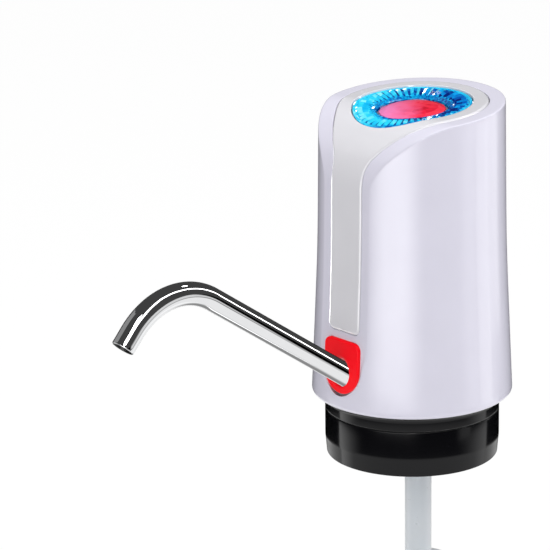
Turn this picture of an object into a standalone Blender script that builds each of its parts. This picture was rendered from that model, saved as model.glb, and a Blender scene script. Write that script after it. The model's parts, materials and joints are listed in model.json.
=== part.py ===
"""Electric pump for bottled water, modelled as its separate pieces.

Metres, +Z up, front (spout) towards -Y. The origin is the centre of the collar's mouth,
where the bottle's neck goes in. The white housing is one turned body whose top is cut by
a single sheet: a sloped plane that rolls over a crown arc and runs down the front.
Places on that sheet are given as (x, s, off): x across, s along the sheet from the
start of the crown arc towards the foot, and off along its outward normal.
"""
import math

import bmesh
import bpy
from mathutils import Matrix, Vector
from mathutils.geometry import delaunay_2d_cdt

MM = 0.001

# Clearances and cutters
GAP = 0.3 * MM            # between pieces that touch
RUN_GAP = 0.35 * MM       # between pieces that slide or turn
OVERRUN = 3.0 * MM        # how far a cutter runs past what it cuts
BEND = 0.6 * MM           # small edge rounding

# Collar and base
COLLAR_HEIGHT = 16.3 * MM
COLLAR_RADIUS = 30.7 * MM
COLLAR_WALL = 1.5 * MM
COLLAR_MOUTH_RADIUS = 30.15 * MM
COLLAR_TAPER_HEIGHT = 5.5 * MM
COLLAR_LEDGE = 3.5 * MM
COLLAR_LEDGE_RADIUS = 22.5 * MM
BAND_HEIGHT = 3.0 * MM
FLARE_HEIGHT = 2.5 * MM
FLARE_INSET = 1.1 * MM
FLOOR = 2.4 * MM
SPIGOT_HEIGHT = 4.5 * MM
SPIGOT_WALL = 2.0 * MM
GASKET_WALL = 1.0 * MM
GASKET_LIP = 0.8 * MM
GASKET_DROP = 2.6 * MM
GASKET_LIPS = 3
LIP_EDGE = 0.4 * MM

# White housing
HEAD_ROOM = 24.5 * MM
FOOT_RADIUS = 35.3 * MM
WAIST_RADIUS = 32.85 * MM
RIM_RADIUS = 32.2 * MM
WAIST_HEIGHT = 53.5 * MM
WAIST_BLEND = 5.0 * MM
FOOT_ROUND = 1.5 * MM
WALL = 2.0 * MM
TOP_TILT = math.radians(4.0)
CROWN_RADIUS = 24.0 * MM
FACE_INSET = 2.0 * MM
RIM_ROUND = 1.3 * MM
SEAT_WALL = 1.8 * MM

# Hood panel
PANEL_RADIUS = 26.6 * MM
PANEL_PROUD = 0.4 * MM
PANEL_DEPTH = 1.6 * MM
PANEL_EDGE = 0.7 * MM
TONGUE_HALF = 7.7 * MM
TONGUE_FILLET = 14.0 * MM
TONGUE_CORNER = 2.5 * MM
SHOULDER_ANGLE = math.radians(35.0)
TONGUE_TO_OUTLET = 2.9 * MM

# Jewelled button and its light ring
RING_RADIUS = 20.8 * MM
RING_BORE = 12.4 * MM
RING_FLANGE = 3.2 * MM
RING_DEPTH = 3.0 * MM
RING_FLUTES = 36
RING_EDGE = 0.9 * MM
RING_EDGE_LOW = 0.45 * MM
RING_DISH = 1.5 * MM
FLUTE_RISE = 0.45 * MM
JEWEL_RADIUS = 11.6 * MM
JEWEL_SINK = 2.2 * MM
JEWEL_RISE = 1.3 * MM
JEWEL_GIRDLE = 0.4 * MM
JEWEL_BACK = 0.5 * MM
JEWEL_FACETS = 16
TABLE_SHARE = 0.48
CROWN_SHARE = 0.74
CARRIER_TOP = 1.2 * MM
CARRIER_SKIRT = 2.6 * MM
CARRIER_WALL = 1.2 * MM
STEM_RADIUS = 2.2 * MM
STEM_LENGTH = 5.6 * MM
BUTTON_TRAVEL = 0.8 * MM
PLUNGER_RADIUS = 1.7 * MM
PLUNGER_LENGTH = 3.2 * MM
PLUNGER_SHOW = 1.5 * MM
SWITCH_SIDE = 6.0 * MM
SWITCH_HEIGHT = 3.5 * MM
GUIDE_WALL = 4.3 * MM
GUIDE_DEPTH = 4.7 * MM
LED_COUNT = 6
LED_SIDE = 3.5 * MM
LED_DEPTH = 2.8 * MM
LED_HEIGHT = 1.4 * MM
BOARD = 1.6 * MM
BOARD_RADIUS = 22.0 * MM

# Outlet and spout
OUTLET_HEIGHT = 14.3 * MM
SPOUT_ANGLE = math.radians(33.9)
SPOUT_DROP = 0.7 * MM
SPOUT_RADIUS = 4.0 * MM
SPOUT_BORE = 3.5 * MM
SPOUT_STRAIGHT = 68.6 * MM
SPOUT_BEND = 26.0 * MM
SPOUT_TURN = math.radians(82.5)
SPOUT_END = 6.1 * MM
SPOUT_DEPTH = 11.0 * MM
ESCUTCHEON_HALF = 8.5 * MM
ESCUTCHEON_TOP = 10.5 * MM
ESCUTCHEON_CORNER = 2.5 * MM
ESCUTCHEON_PROUD = 1.15 * MM
ESCUTCHEON_BACK = 1.0 * MM
RECESS_MARGIN = 1.0 * MM
RECESS_FLARE = 10.0 * MM
O_RING = 0.7 * MM
SEAL_SHARE = 0.9
SOCKET_WALL = 1.3 * MM
SOCKET_END = 1.3 * MM
NIPPLE_RADIUS = 2.3 * MM
NIPPLE_BORE = 1.6 * MM
NIPPLE_LENGTH = 6.5 * MM
ELBOW_SHARE = 0.96
SWEEP_SHARE = 0.62
LEAN_SHARE = 0.82

# Hose, barb and inner tubes
HOSE_OFFSET = 3.0 * MM
HOSE_RADIUS = 4.75 * MM
BARB_LENGTH = 15.5 * MM
BARB_RADIUS = 2.9 * MM
BARB_CORE = 2.5 * MM
BARB_BORE = 1.6 * MM
BARBS = 3
STUB_LENGTH = 6.5 * MM
TUBE_WALL = 0.9 * MM

# Battery, motor, pump and chassis
BATTERY_RADIUS = 9.2 * MM
BATTERY_LENGTH = 65.0 * MM
BATTERY_POLE = 2.8 * MM
BATTERY_POLE_RISE = 0.9 * MM
TAB = 0.4 * MM
TAB_WIDTH = 6.0 * MM
MOTOR_RADIUS = 12.2 * MM
MOTOR_LENGTH = 28.0 * MM
MOTOR_WALL = 0.9 * MM
MOTOR_BOSS = 3.0 * MM
MOTOR_BOSS_RISE = 1.5 * MM
END_CAP = 3.0 * MM
TERMINAL_RISE = 2.0 * MM
TERMINAL_WIDTH = 2.2 * MM
ARMATURE_RADIUS = 8.6 * MM
ARMATURE_LENGTH = 18.0 * MM
SHAFT_RADIUS = 1.0 * MM
CAM_RADIUS = 3.6 * MM
CAM_OFFSET = 1.4 * MM
CAM_HEIGHT = 5.0 * MM
PUMP_RADIUS = 13.2 * MM
PUMP_CASE = 11.0 * MM
PUMP_WALL = 1.6 * MM
DIAPHRAGM = 1.4 * MM
PUMP_HEAD = 6.0 * MM
PUMP_CLEAR = 27.6 * MM
INNER_Y = 4.0 * MM
BACKBONE = 2.0 * MM
BACKBONE_CLEAR = 1.0 * MM
BACKBONE_FRONT = 13.0 * MM
BACKBONE_REAR = 18.0 * MM
CLIP_WALL = 1.6 * MM
CLIP_HEIGHT = 7.0 * MM
BATTERY_CLEAR = 12.0 * MM
CUP_HEIGHT = 9.0 * MM
CUP_FLOOR = 2.0 * MM
SHELF = 2.0 * MM
SHELF_RADIUS = 22.0 * MM
FOOT_WIDTH = 9.0 * MM
FOOT_DEPTH = 7.0 * MM
FOOT_THICK = 2.6 * MM
LEAD_RADIUS = 0.7 * MM

# Screws
BASE_SCREWS = 3
BASE_SCREW_CIRCLE = 26.2 * MM
BOSS_RADIUS = 3.2 * MM
BOSS_HEIGHT = 13.0 * MM
SCREW_RADIUS = 1.2 * MM
SCREW_HEAD = 2.3 * MM
SCREW_HEAD_HEIGHT = 1.7 * MM
SCREW_LENGTH = 9.0 * MM
BOARD_SCREW_LENGTH = 3.2 * MM

# Charging port at the back
PORT_HEIGHT = 74.0 * MM
PORT_WIDTH = 7.6 * MM
PORT_THICK = 2.9 * MM
PORT_DEPTH = 5.6 * MM
PORT_WALL = 0.35 * MM
PORT_SINK = 1.0 * MM
PORT_ROUND = 0.9 * MM
PORT_BOARD_WIDTH = 16.0 * MM
PORT_BOARD_DEPTH = 9.0 * MM

# Sides of round pieces
ROUND = 64
MEDIUM = 24
SMALL = 12
FLAT_LIMIT = math.radians(0.1)

# Heights that follow from the sizes above; the housing clears the taller inner stack
CELL_STACK = BATTERY_CLEAR + CUP_FLOOR + TAB + 2 * GAP + BATTERY_LENGTH + BATTERY_POLE_RISE
MOTOR_STACK = (PUMP_CLEAR + PUMP_HEAD + DIAPHRAGM + PUMP_CASE + MOTOR_LENGTH + END_CAP
               + TERMINAL_RISE + 4 * GAP)
HOUSING_HEIGHT = max(CELL_STACK, MOTOR_STACK) + HEAD_ROOM
BAND_Z = COLLAR_HEIGHT + GAP
FOOT_Z = BAND_Z + BAND_HEIGHT + FLARE_HEIGHT + GAP
FLOOR_TOP = FOOT_Z
REAR_Z = FOOT_Z + HOUSING_HEIGHT
OUTLET_Z = FOOT_Z + OUTLET_HEIGHT
PANEL_SEAT = PANEL_DEPTH + GAP
INNER_OFF = PANEL_SEAT + SEAT_WALL


def clear_scene():
    for item in list(bpy.data.objects):
        bpy.data.objects.remove(item, do_unlink=True)


def material(name, colour, roughness, metallic=0.0, alpha=1.0):
    mat = bpy.data.materials.new(name)
    mat.use_nodes = True
    shader = mat.node_tree.nodes["Principled BSDF"]
    shader.inputs["Base Color"].default_value = (*colour, 1.0)
    shader.inputs["Roughness"].default_value = roughness
    shader.inputs["Metallic"].default_value = metallic
    shader.inputs["Alpha"].default_value = alpha
    mat.diffuse_color = (*colour, alpha)
    return mat


def make_object(name, bm, mat=None, angle=35.0):
    """A scene object from a bmesh, with its doubles merged and its faces pointing out."""
    bmesh.ops.remove_doubles(bm, verts=bm.verts, dist=0.001 * MM)
    bmesh.ops.recalc_face_normals(bm, faces=bm.faces)
    mesh = bpy.data.meshes.new(name)
    bm.to_mesh(mesh)
    bm.free()
    mesh.shade_smooth()
    mesh.set_sharp_from_angle(angle=math.radians(angle))
    obj = bpy.data.objects.new(name, mesh)
    bpy.context.collection.objects.link(obj)
    if mat:
        mesh.materials.append(mat)
    else:
        obj.hide_render = True
        obj.display_type = "WIRE"
    return obj


def boolean(obj, tool, operation="DIFFERENCE"):
    mod = obj.modifiers.new(tool.name, "BOOLEAN")
    mod.object = tool
    mod.operation = operation
    mod.solver = "EXACT"
    return obj


def turned(name, profile, mat=None, steps=MEDIUM, place=None, angle=35.0):
    """A round piece: a closed profile of (radius, height) points spun about Z."""
    bm = bmesh.new()
    ring = [bm.verts.new((r, 0.0, z)) for r, z in profile]
    pairs = [(ring[i], ring[(i + 1) % len(ring)]) for i in range(len(ring))]
    edges = [bm.edges.new(pair) for pair in pairs if pair[0].co.x > 0 or pair[1].co.x > 0]
    bmesh.ops.spin(bm, geom=ring + edges, axis=(0, 0, 1), cent=(0, 0, 0),
                   angle=math.tau, steps=steps, use_merge=True)
    obj = make_object(name, bm, mat, angle)
    if place:
        obj.matrix_world = place
    return obj


def block(name, low, high, mat=None, bevel=0.0, place=None):
    """A box between two corners, with its edges bevelled where asked."""
    bm = bmesh.new()
    size = [b - a for a, b in zip(low, high)]
    middle = [(a + b) / 2 for a, b in zip(low, high)]
    bmesh.ops.create_cube(bm, size=1.0, matrix=Matrix.Translation(middle) @ Matrix.Diagonal((*size, 1)))
    if bevel:
        bmesh.ops.bevel(bm, geom=bm.edges, offset=bevel, segments=2, affect="EDGES", profile=0.5)
    obj = make_object(name, bm, mat)
    if place:
        obj.matrix_world = place
    return obj


def rod(name, start, end, radius, mat=None, steps=SMALL):
    """A plain round bar between two points."""
    a, b = Vector(start), Vector(end)
    bm = bmesh.new()
    turn = (b - a).to_track_quat("Z", "Y").to_matrix().to_4x4()
    bmesh.ops.create_cone(bm, cap_ends=True, segments=steps, radius1=radius, radius2=radius,
                          depth=(b - a).length, matrix=Matrix.Translation((a + b) / 2) @ turn)
    return make_object(name, bm, mat)


def prism(name, outline, low, high, mat=None, axis="Z"):
    """A closed outline extruded along Z, or an outline of (y, z) points along X."""
    bm = bmesh.new()
    put = (lambda u, v, w: (u, v, w)) if axis == "Z" else (lambda u, v, w: (w, u, v))
    face = bm.faces.new([bm.verts.new(put(u, v, low)) for u, v in outline])
    grown = bmesh.ops.extrude_face_region(bm, geom=[face])["geom"]
    moved = [v for v in grown if isinstance(v, bmesh.types.BMVert)]
    bmesh.ops.translate(bm, verts=moved, vec=put(0, 0, high - low))
    return make_object(name, bm, mat)


def skin(rows, closed_rows=True, cap_first=True, cap_last=True):
    """Rings of points with equal counts, bridged by quads, with flat ends where asked."""
    bm = bmesh.new()
    grid = [[bm.verts.new(p) for p in row] for row in rows]
    count = len(rows[0])
    for low, high in zip(grid, grid[1:]):
        for i in range(count if closed_rows else count - 1):
            j = (i + 1) % count
            bm.faces.new((low[i], low[j], high[j], high[i]))
    if cap_first:
        bm.faces.new(grid[0][::-1])
    if cap_last:
        bm.faces.new(grid[-1])
    return bm


def smooth_points(anchors, spacing):
    """Points read off a smooth curve through the anchors, about one spacing apart."""
    knots = [Vector(p) for p in anchors]
    ends = [knots[0] * 2 - knots[1]] + knots + [knots[-1] * 2 - knots[-2]]
    points = []
    for a, b, c, d in zip(ends, ends[1:], ends[2:], ends[3:]):
        steps = max(2, round((c - b).length / spacing))
        for i in range(steps):
            t = i / steps
            points.append(0.5 * (b * 2 + (c - a) * t + (a * 2 - b * 5 + c * 4 - d) * t ** 2
                                 + (b * 3 - a - c * 3 + d) * t ** 3))
    return points + [knots[-1]]


def curve_tube(name, points, radius, mat, resolution=2):
    """A tube with filled ends along a line of points."""
    data = bpy.data.curves.new(name, "CURVE")
    data.dimensions = "3D"
    data.bevel_depth = radius
    data.bevel_resolution = resolution
    data.use_fill_caps = True
    spline = data.splines.new("POLY")
    spline.points.add(len(points) - 1)
    for knot, p in zip(spline.points, points):
        knot.co = (*p, 1.0)
    data.materials.append(mat)
    obj = bpy.data.objects.new(name, data)
    bpy.context.collection.objects.link(obj)
    return obj


def hollow_tube(name, path, outer, inner, mat, steps=SMALL, place=None, lip=0.0):
    """A pipe along a path, with its bore and with its two end faces flat."""
    path = [Vector(p) for p in path]
    heading = (path[1] - path[0]).normalized()
    side = heading.orthogonal().normalized()
    frames = []
    for i, p in enumerate(path):
        ahead = path[min(i + 1, len(path) - 1)] - path[max(i - 1, 0)]
        turn = heading.rotation_difference(ahead.normalized())
        heading, side = ahead.normalized(), (turn @ side).normalized()
        frames.append((p, side, heading.cross(side)))
    ends = (0, len(path) - 1)

    def ring(i, radius):
        p, u, v = frames[i]
        return [p + (u * math.cos(a) + v * math.sin(a)) * radius
                for a in (math.tau * k / steps for k in range(steps))]

    outside = [ring(i, outer - (lip if i in ends else 0.0)) for i in range(len(path))]
    inside = [ring(i, inner) for i in range(len(path))]
    bm = skin(outside + inside[::-1] + [outside[0]], True, False, False)
    # a four-sided face that is twisted in a bend becomes two flat ones
    bmesh.ops.connect_verts_nonplanar(bm, angle_limit=FLAT_LIMIT, faces=bm.faces)
    obj = make_object(name, bm, mat)
    if place:
        obj.matrix_world = place
    return obj


# The housing's side and the sheet that cuts it


def body_radius(z):
    """Outer radius of the housing: two straight tapers that meet in a soft corner."""
    rise = z - FOOT_Z
    upper = (WAIST_RADIUS - RIM_RADIUS) / (HOUSING_HEIGHT - WAIST_HEIGHT)
    lower = (FOOT_RADIUS - WAIST_RADIUS) / WAIST_HEIGHT
    corner = WAIST_BLEND * math.log1p(math.exp((WAIST_HEIGHT - rise) / WAIST_BLEND))
    return RIM_RADIUS + upper * (HOUSING_HEIGHT - rise) + (lower - upper) * corner


def crown_centre():
    """Centre of the crown arc, which touches the front line and the sloped top."""
    z = REAR_Z - CROWN_RADIUS
    for _ in range(8):
        y = FACE_INSET + CROWN_RADIUS - body_radius(z)
        z = REAR_Z - (RIM_RADIUS - y) * math.tan(TOP_TILT) - CROWN_RADIUS / math.cos(TOP_TILT)
    return y, z


CROWN_Y, CROWN_Z = crown_centre()
CROWN_LENGTH = CROWN_RADIUS * (math.pi / 2 - TOP_TILT)
START_Y = CROWN_Y - CROWN_RADIUS * math.sin(TOP_TILT)
START_Z = CROWN_Z + CROWN_RADIUS * math.cos(TOP_TILT)
AXIS_S = START_Y / math.cos(TOP_TILT)
AXIS_Z = START_Z - AXIS_S * math.sin(TOP_TILT)
HEAD = Matrix.Translation((0, 0, AXIS_Z)) @ Matrix.Rotation(TOP_TILT, 4, "X")


def sheet(x, s, off=0.0):
    """The point at x, s and off on the sheet that cuts the housing."""
    if s < 0:
        y = START_Y - s * math.cos(TOP_TILT) - off * math.sin(TOP_TILT)
        z = START_Z - s * math.sin(TOP_TILT) + off * math.cos(TOP_TILT)
    elif s < CROWN_LENGTH:
        turn = TOP_TILT + s / CROWN_RADIUS
        y = CROWN_Y - (CROWN_RADIUS + off) * math.sin(turn)
        z = CROWN_Z + (CROWN_RADIUS + off) * math.cos(turn)
    else:
        z = CROWN_Z - (s - CROWN_LENGTH)
        y = FACE_INSET - body_radius(z) - off
    return Vector((x, y, z))


def sheet_normal(s):
    turn = TOP_TILT + min(max(s, 0.0), CROWN_LENGTH) / CROWN_RADIUS
    return Vector((0, -math.sin(turn), math.cos(turn)))


def sheet_forward(s):
    turn = TOP_TILT + min(max(s, 0.0), CROWN_LENGTH) / CROWN_RADIUS
    return Vector((0, -math.cos(turn), -math.sin(turn)))


def height_to_s(z):
    """Where the sheet's front stretch passes a height."""
    return CROWN_LENGTH + CROWN_Z - z


def chord_half(s):
    """Half the width of the sheet inside the housing's round side."""
    p = sheet(0, s)
    return math.sqrt(max(body_radius(p.z) ** 2 - p.y ** 2, 0.0))


def rim_line():
    """The right half of the sheet's outline, (x, s, height of the outer edge), rear to foot."""
    rear_s = AXIS_S - RIM_RADIUS / math.cos(TOP_TILT)
    for _ in range(8):
        p = sheet(0, rear_s)
        rear_s -= (body_radius(p.z) - p.y) / math.cos(TOP_TILT)
    line = []
    steps = 20
    sweep = math.radians(100.0)
    for k in range(steps + 1):
        s = AXIS_S + (rear_s - AXIS_S) * math.cos(sweep * k / steps)
        line.append((chord_half(s) if k else 0.0, s))
    first = line[-1][1]
    crown_steps = 14
    for k in range(1, crown_steps + 1):
        s = first + (CROWN_LENGTH - first) * k / crown_steps
        line.append((chord_half(s), s))
    flare_s = height_to_s(OUTLET_Z + RECESS_FLARE)
    front_steps = 8
    for k in range(1, front_steps + 1):
        s = CROWN_LENGTH + (flare_s - CROWN_LENGTH) * k / front_steps
        line.append((chord_half(s), s))
    half = ESCUTCHEON_HALF + RECESS_MARGIN
    centre_s = height_to_s(OUTLET_Z)
    wide = line[-1][0]
    line.append(((wide + half) / 2, (flare_s + centre_s) / 2))
    round_steps = 8
    for k in range(round_steps + 1):
        turn = math.pi / 2 * (1 - k / round_steps)
        line.append((half * math.sin(turn), centre_s + half * math.cos(turn)))
    line[-1] = (0.0, line[-1][1])
    return line


def side_point(angle, z):
    r = body_radius(z)
    return Vector((r * math.sin(angle), -r * math.cos(angle), z))


def rim_rows():
    """Rows across the rounded rim, from the side to the sheet, for the right half."""
    line = rim_line()
    lip, floor = [], []
    for x, s in line:
        p = sheet(x, s)
        r = body_radius(p.z)
        y = math.copysign(math.sqrt(max(r * r - x * x, 0.0)), p.y)
        lip.append(Vector((x, y, p.z)))
        floor.append(p)
    rows = [[] for _ in range(5)]
    for k, (x, s) in enumerate(line):
        last = len(line) - 1
        if k in (0, last):
            along = Vector((1, 0, 0)) if k == 0 else Vector((-1, 0, 0))
        else:
            along = (lip[k + 1] - lip[k - 1]).normalized()
        outward = Vector((lip[k].x, lip[k].y, 0)).normalized()
        down = outward.cross(along).normalized() * RIM_ROUND
        inward = along.cross(sheet_normal(s)).normalized() * RIM_ROUND
        low = lip[k] + down
        start = side_point(math.atan2(low.x, -low.y), low.z)
        end = sheet(x + inward.x, s + inward.dot(sheet_forward(s)))
        for i, row in enumerate(rows):
            t = i / (len(rows) - 1)
            point = (start * (1 - t) ** 3 + lip[k] * 3 * t * (1 - t) ** 2
                     + floor[k] * 3 * t * t * (1 - t) + end * t ** 3)
            if k in (0, last):
                point.x = 0.0
            row.append(point)
    return rows


def mirror_x(p):
    return Vector((-p.x, p.y, p.z))


def near_line(u, z, line, margin):
    """Whether a flat point lies within a margin of a line of flat points."""
    p = Vector((u, z))
    for a, b in zip(line, line[1:]):
        run = b - a
        t = min(max((p - a).dot(run) / max(run.length_squared, 1e-18), 0.0), 1.0)
        if (p - a - run * t).length < margin:
            return True
    return False


def inside_line(u, z, line):
    """Whether a flat point is inside a closed line, by counting crossings."""
    inside = False
    for a, b in zip(line, line[1:] + line[:1]):
        if (a.y > z) != (b.y > z) and u < a.x + (z - a.y) * (b.x - a.x) / (b.y - a.y):
            inside = not inside
    return inside


def housing_body(name, mat):
    """The solid outer form: side, rounded rim, sheet, rounded foot and flat underside."""
    rows = rim_rows()
    bm = bmesh.new()
    # rim and sheet
    grid = []
    for row in rows:
        right = [bm.verts.new(p) for p in row]
        left = [right[0]] + [bm.verts.new(mirror_x(p)) for p in row[1:-1]] + [right[-1]]
        grid.append((right, left))
    for (r0, l0), (r1, l1) in zip(grid, grid[1:]):
        for k in range(len(r0) - 1):
            bm.faces.new((r0[k], r0[k + 1], r1[k + 1], r1[k]))
            bm.faces.new((l0[k + 1], l0[k], l1[k], l1[k + 1]))
    right, left = grid[-1]
    bm.faces.new((right[0], right[1], left[1]))
    for k in range(1, len(right) - 2):
        bm.faces.new((right[k], right[k + 1], left[k + 1], left[k]))
    bm.faces.new((right[-2], right[-1], left[-2]))
    # side, laid flat: arc length at the foot radius against height
    edge = rows[0]
    flat = [Vector((math.atan2(p.x, -p.y) * FOOT_RADIUS, p.z)) for p in edge]
    flat[0].x = math.pi * FOOT_RADIUS
    flat[-1].x = 0.0
    left_flat = [Vector((-p.x, p.y)) for p in flat]
    top = flat + left_flat[-2::-1]
    foot = FOOT_Z + FOOT_ROUND
    levels = 8
    heights = [foot + (REAR_Z - foot) * k / levels for k in range(levels + 1)]
    seam = [z for z in heights[1:] if z < flat[0].y - RIM_ROUND]
    columns = [math.pi * FOOT_RADIUS * (2 * k / ROUND - 1) for k in range(ROUND + 1)]
    outline = list(top)
    outline += [Vector((columns[0], z)) for z in reversed(seam)]
    outline += [Vector((u, foot)) for u in columns]
    outline += [Vector((columns[-1], z)) for z in seam]
    margin = 2.0 * RIM_ROUND
    inner = [Vector((u, z)) for z in heights[1:] for u in columns[1:-1]
             if inside_line(u, z, outline) and not near_line(u, z, top, margin)]
    points = outline + inner
    made = delaunay_2d_cdt(points, [], [list(range(len(outline)))], 1, 1e-9)
    verts = [bm.verts.new(side_point(p.x / FOOT_RADIUS, p.y)) for p in made[0]]
    for face in made[2]:
        bm.faces.new([verts[i] for i in face])
    # rounded foot and underside
    steps = 2
    rings = []
    for k in range(steps + 1):
        turn = math.pi / 2 * k / steps
        z = foot - FOOT_ROUND * math.sin(turn)
        r = body_radius(foot) - FOOT_ROUND * (1 - math.cos(turn))
        rings.append([bm.verts.new((r * math.sin(a), -r * math.cos(a), z))
                      for a in (u / FOOT_RADIUS for u in columns[:-1])])
    for low, high in zip(rings, rings[1:]):
        for i in range(ROUND):
            j = (i + 1) % ROUND
            bm.faces.new((low[i], low[j], high[j], high[i]))
    bm.faces.new(rings[-1])
    return make_object(name, bm, mat, angle=40.0)


def face_block(name, off):
    """All the room outside the sheet moved by off, as a solid for cutting."""
    steps = 24
    far = 2 * FOOT_RADIUS
    low_s = height_to_s(FOOT_Z - 2 * OVERRUN)
    line = [sheet(0, low_s + (CROWN_LENGTH - low_s) * k / steps, off) for k in range(steps)]
    line += [sheet(0, CROWN_LENGTH * (1 - k / steps), off) for k in range(steps)]
    line += [sheet(0, 0, off), sheet(0, -far, off)]
    outline = [(p.y, p.z) for p in line]
    outline += [(line[-1].y, REAR_Z + far), (-far, REAR_Z + far), (-far, line[0].z)]
    return prism(name, outline, -far, far, axis="X")


def ladder(outline, low, high, edge=0.0):
    """A slab on the sheet. outline(inset) gives its right half, rear to foot, as (x, s)."""
    steps = 3 if edge else 0
    levels = [(0.0, low), (0.0, high - edge)]
    for k in range(1, steps + 1):
        turn = math.pi / 2 * k / steps
        levels.append((edge * (1 - math.cos(turn)), high - edge * (1 - math.sin(turn))))
    bm = bmesh.new()
    rings = []
    for inset, off in levels:
        half = outline(inset)
        right = [bm.verts.new(sheet(x, s, off)) for x, s in half]
        left = [v if abs(x) < 1e-9 else bm.verts.new(sheet(-x, s, off))
                for v, (x, s) in zip(right, half)]
        rings.append((right, left))
    count = len(rings[0][0])

    def fill(right, left, flip):
        for k in range(count - 1):
            loop = [right[k], right[k + 1], left[k + 1], left[k]]
            loop = [v for i, v in enumerate(loop) if v not in loop[:i]]
            bm.faces.new(loop[::-1] if flip else loop)

    fill(*rings[0], True)
    fill(*rings[-1], False)
    for (r0, l0), (r1, l1) in zip(rings, rings[1:]):
        for k in range(count - 1):
            bm.faces.new((r0[k], r0[k + 1], r1[k + 1], r1[k]))
            bm.faces.new((l0[k + 1], l0[k], l1[k], l1[k + 1]))
        for k in (0, count - 1):
            if r0[k] is not l0[k]:
                bm.faces.new((r0[k], l0[k], l1[k], r1[k]))
    return bm


def corner_points(x, s, radius, start, steps=4):
    """A quarter-round corner about (x, s), from a start angle, turning by a right angle."""
    return [(x + radius * math.cos(start - math.pi / 2 * k / steps),
             s + radius * math.sin(start - math.pi / 2 * k / steps)) for k in range(steps + 1)]


def panel_outline(inset):
    """The hood panel: round on top, straight shoulders, hollow fillets, a narrow tongue."""
    radius = PANEL_RADIUS - inset
    half = TONGUE_HALF - inset
    fillet = TONGUE_FILLET + inset
    leave = math.pi / 2 + SHOULDER_ANGLE
    steps = 24
    points = [(radius * math.sin(leave * k / steps), AXIS_S - radius * math.cos(leave * k / steps))
              for k in range(steps + 1)]
    points[0] = (0.0, points[0][1])
    # the fillet's centre is one radius off the tongue's edge and off the shoulder line
    x0, s0 = points[-1]
    cx = half + fillet
    cs = s0 + (x0 - cx) / math.tan(SHOULDER_ANGLE) + fillet / math.sin(SHOULDER_ANGLE)
    start_x = cx - fillet * math.cos(SHOULDER_ANGLE)
    start_s = cs - fillet * math.sin(SHOULDER_ANGLE)
    straight = 3
    for k in range(1, straight):
        points.append((x0 + (start_x - x0) * k / straight, s0 + (start_s - s0) * k / straight))
    bends = 6
    for k in range(bends + 1):
        turn = SHOULDER_ANGLE * (1 - k / bends)
        points.append((cx - fillet * math.cos(turn), cs - fillet * math.sin(turn)))
    end = height_to_s(OUTLET_Z + ESCUTCHEON_TOP + TONGUE_TO_OUTLET) - inset
    corner = TONGUE_CORNER - inset
    first = max(points[-1][1], CROWN_LENGTH)
    runs = 6
    for k in range(0 if first > points[-1][1] + BEND else 1, runs + 1):
        points.append((half, first + (end - corner - first) * k / runs))
    bottom = [(half - corner + corner * math.cos(math.pi / 2 * k / 4),
               end - corner + corner * math.sin(math.pi / 2 * k / 4)) for k in range(1, 5)]
    return points + bottom


def escutcheon_outline(inset):
    """The outlet insert: flat top with small corners, straight sides, round foot."""
    half = ESCUTCHEON_HALF - inset
    corner = ESCUTCHEON_CORNER - inset
    centre = height_to_s(OUTLET_Z)
    top = centre - ESCUTCHEON_TOP + inset
    points = [(half - corner + corner * math.sin(math.pi / 2 * k / 4),
               top + corner - corner * math.cos(math.pi / 2 * k / 4)) for k in range(5)]
    points += [(half, centre + (top + corner - centre) * (1 - k / 3)) for k in range(1, 3)]
    steps = 10
    points += [(half * math.cos(math.pi / 2 * k / steps), centre + half * math.sin(math.pi / 2 * k / steps))
               for k in range(steps)]
    return points + [(0.0, centre + half)]


def sheet_ring(profile, steps, half_rows=()):
    """Rings about the head's axis on the sheet: rows of (radius, off), wrapped over the crown."""
    rows = []
    for n, (radius, off) in enumerate(profile):
        shift = 0.5 if n in half_rows else 0.0
        rows.append([sheet(radius * math.sin(math.tau * (k + shift) / steps),
                           AXIS_S - radius * math.cos(math.tau * (k + shift) / steps), off)
                     for k in range(steps)])
    return rows


def ring_object(name, profile, steps, mat=None, half_rows=(), angle=35.0):
    """A closed ring from sheet_ring rows. Rows turned by half a step meet in triangles."""
    rows = sheet_ring(profile, steps, half_rows)
    bm = bmesh.new()
    grid = [[bm.verts.new(p) for p in row] for row in rows]
    total = len(grid)
    for n in range(total):
        m = (n + 1) % total
        a, b = grid[n], grid[m]
        turned_a, turned_b = n in half_rows, m in half_rows
        for i in range(steps):
            j = (i + 1) % steps
            if turned_a == turned_b:
                bm.faces.new((a[i], a[j], b[j], b[i]))
            elif turned_b:
                bm.faces.new((a[i], a[j], b[i]))
                bm.faces.new((b[i], a[j], b[j]))
            else:
                bm.faces.new((a[i], b[j], b[i]))
                bm.faces.new((a[i], a[j], b[j]))
    return make_object(name, bm, mat, angle)


def sheet_plug(name, radius, low, high, steps=ROUND):
    """A cutter that follows the sheet: a disc of one radius between two levels."""
    rows = sheet_ring([(radius, low), (radius, high)], steps)
    spokes = (3, 2, 1)
    caps = [sheet_ring([(radius * n / 4, off) for n in spokes], steps) for off in (low, high)]
    bm = skin(caps[0][::-1] + rows + caps[1], True, True, True)
    return make_object(name, bm)


# Places that several pieces share

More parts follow.
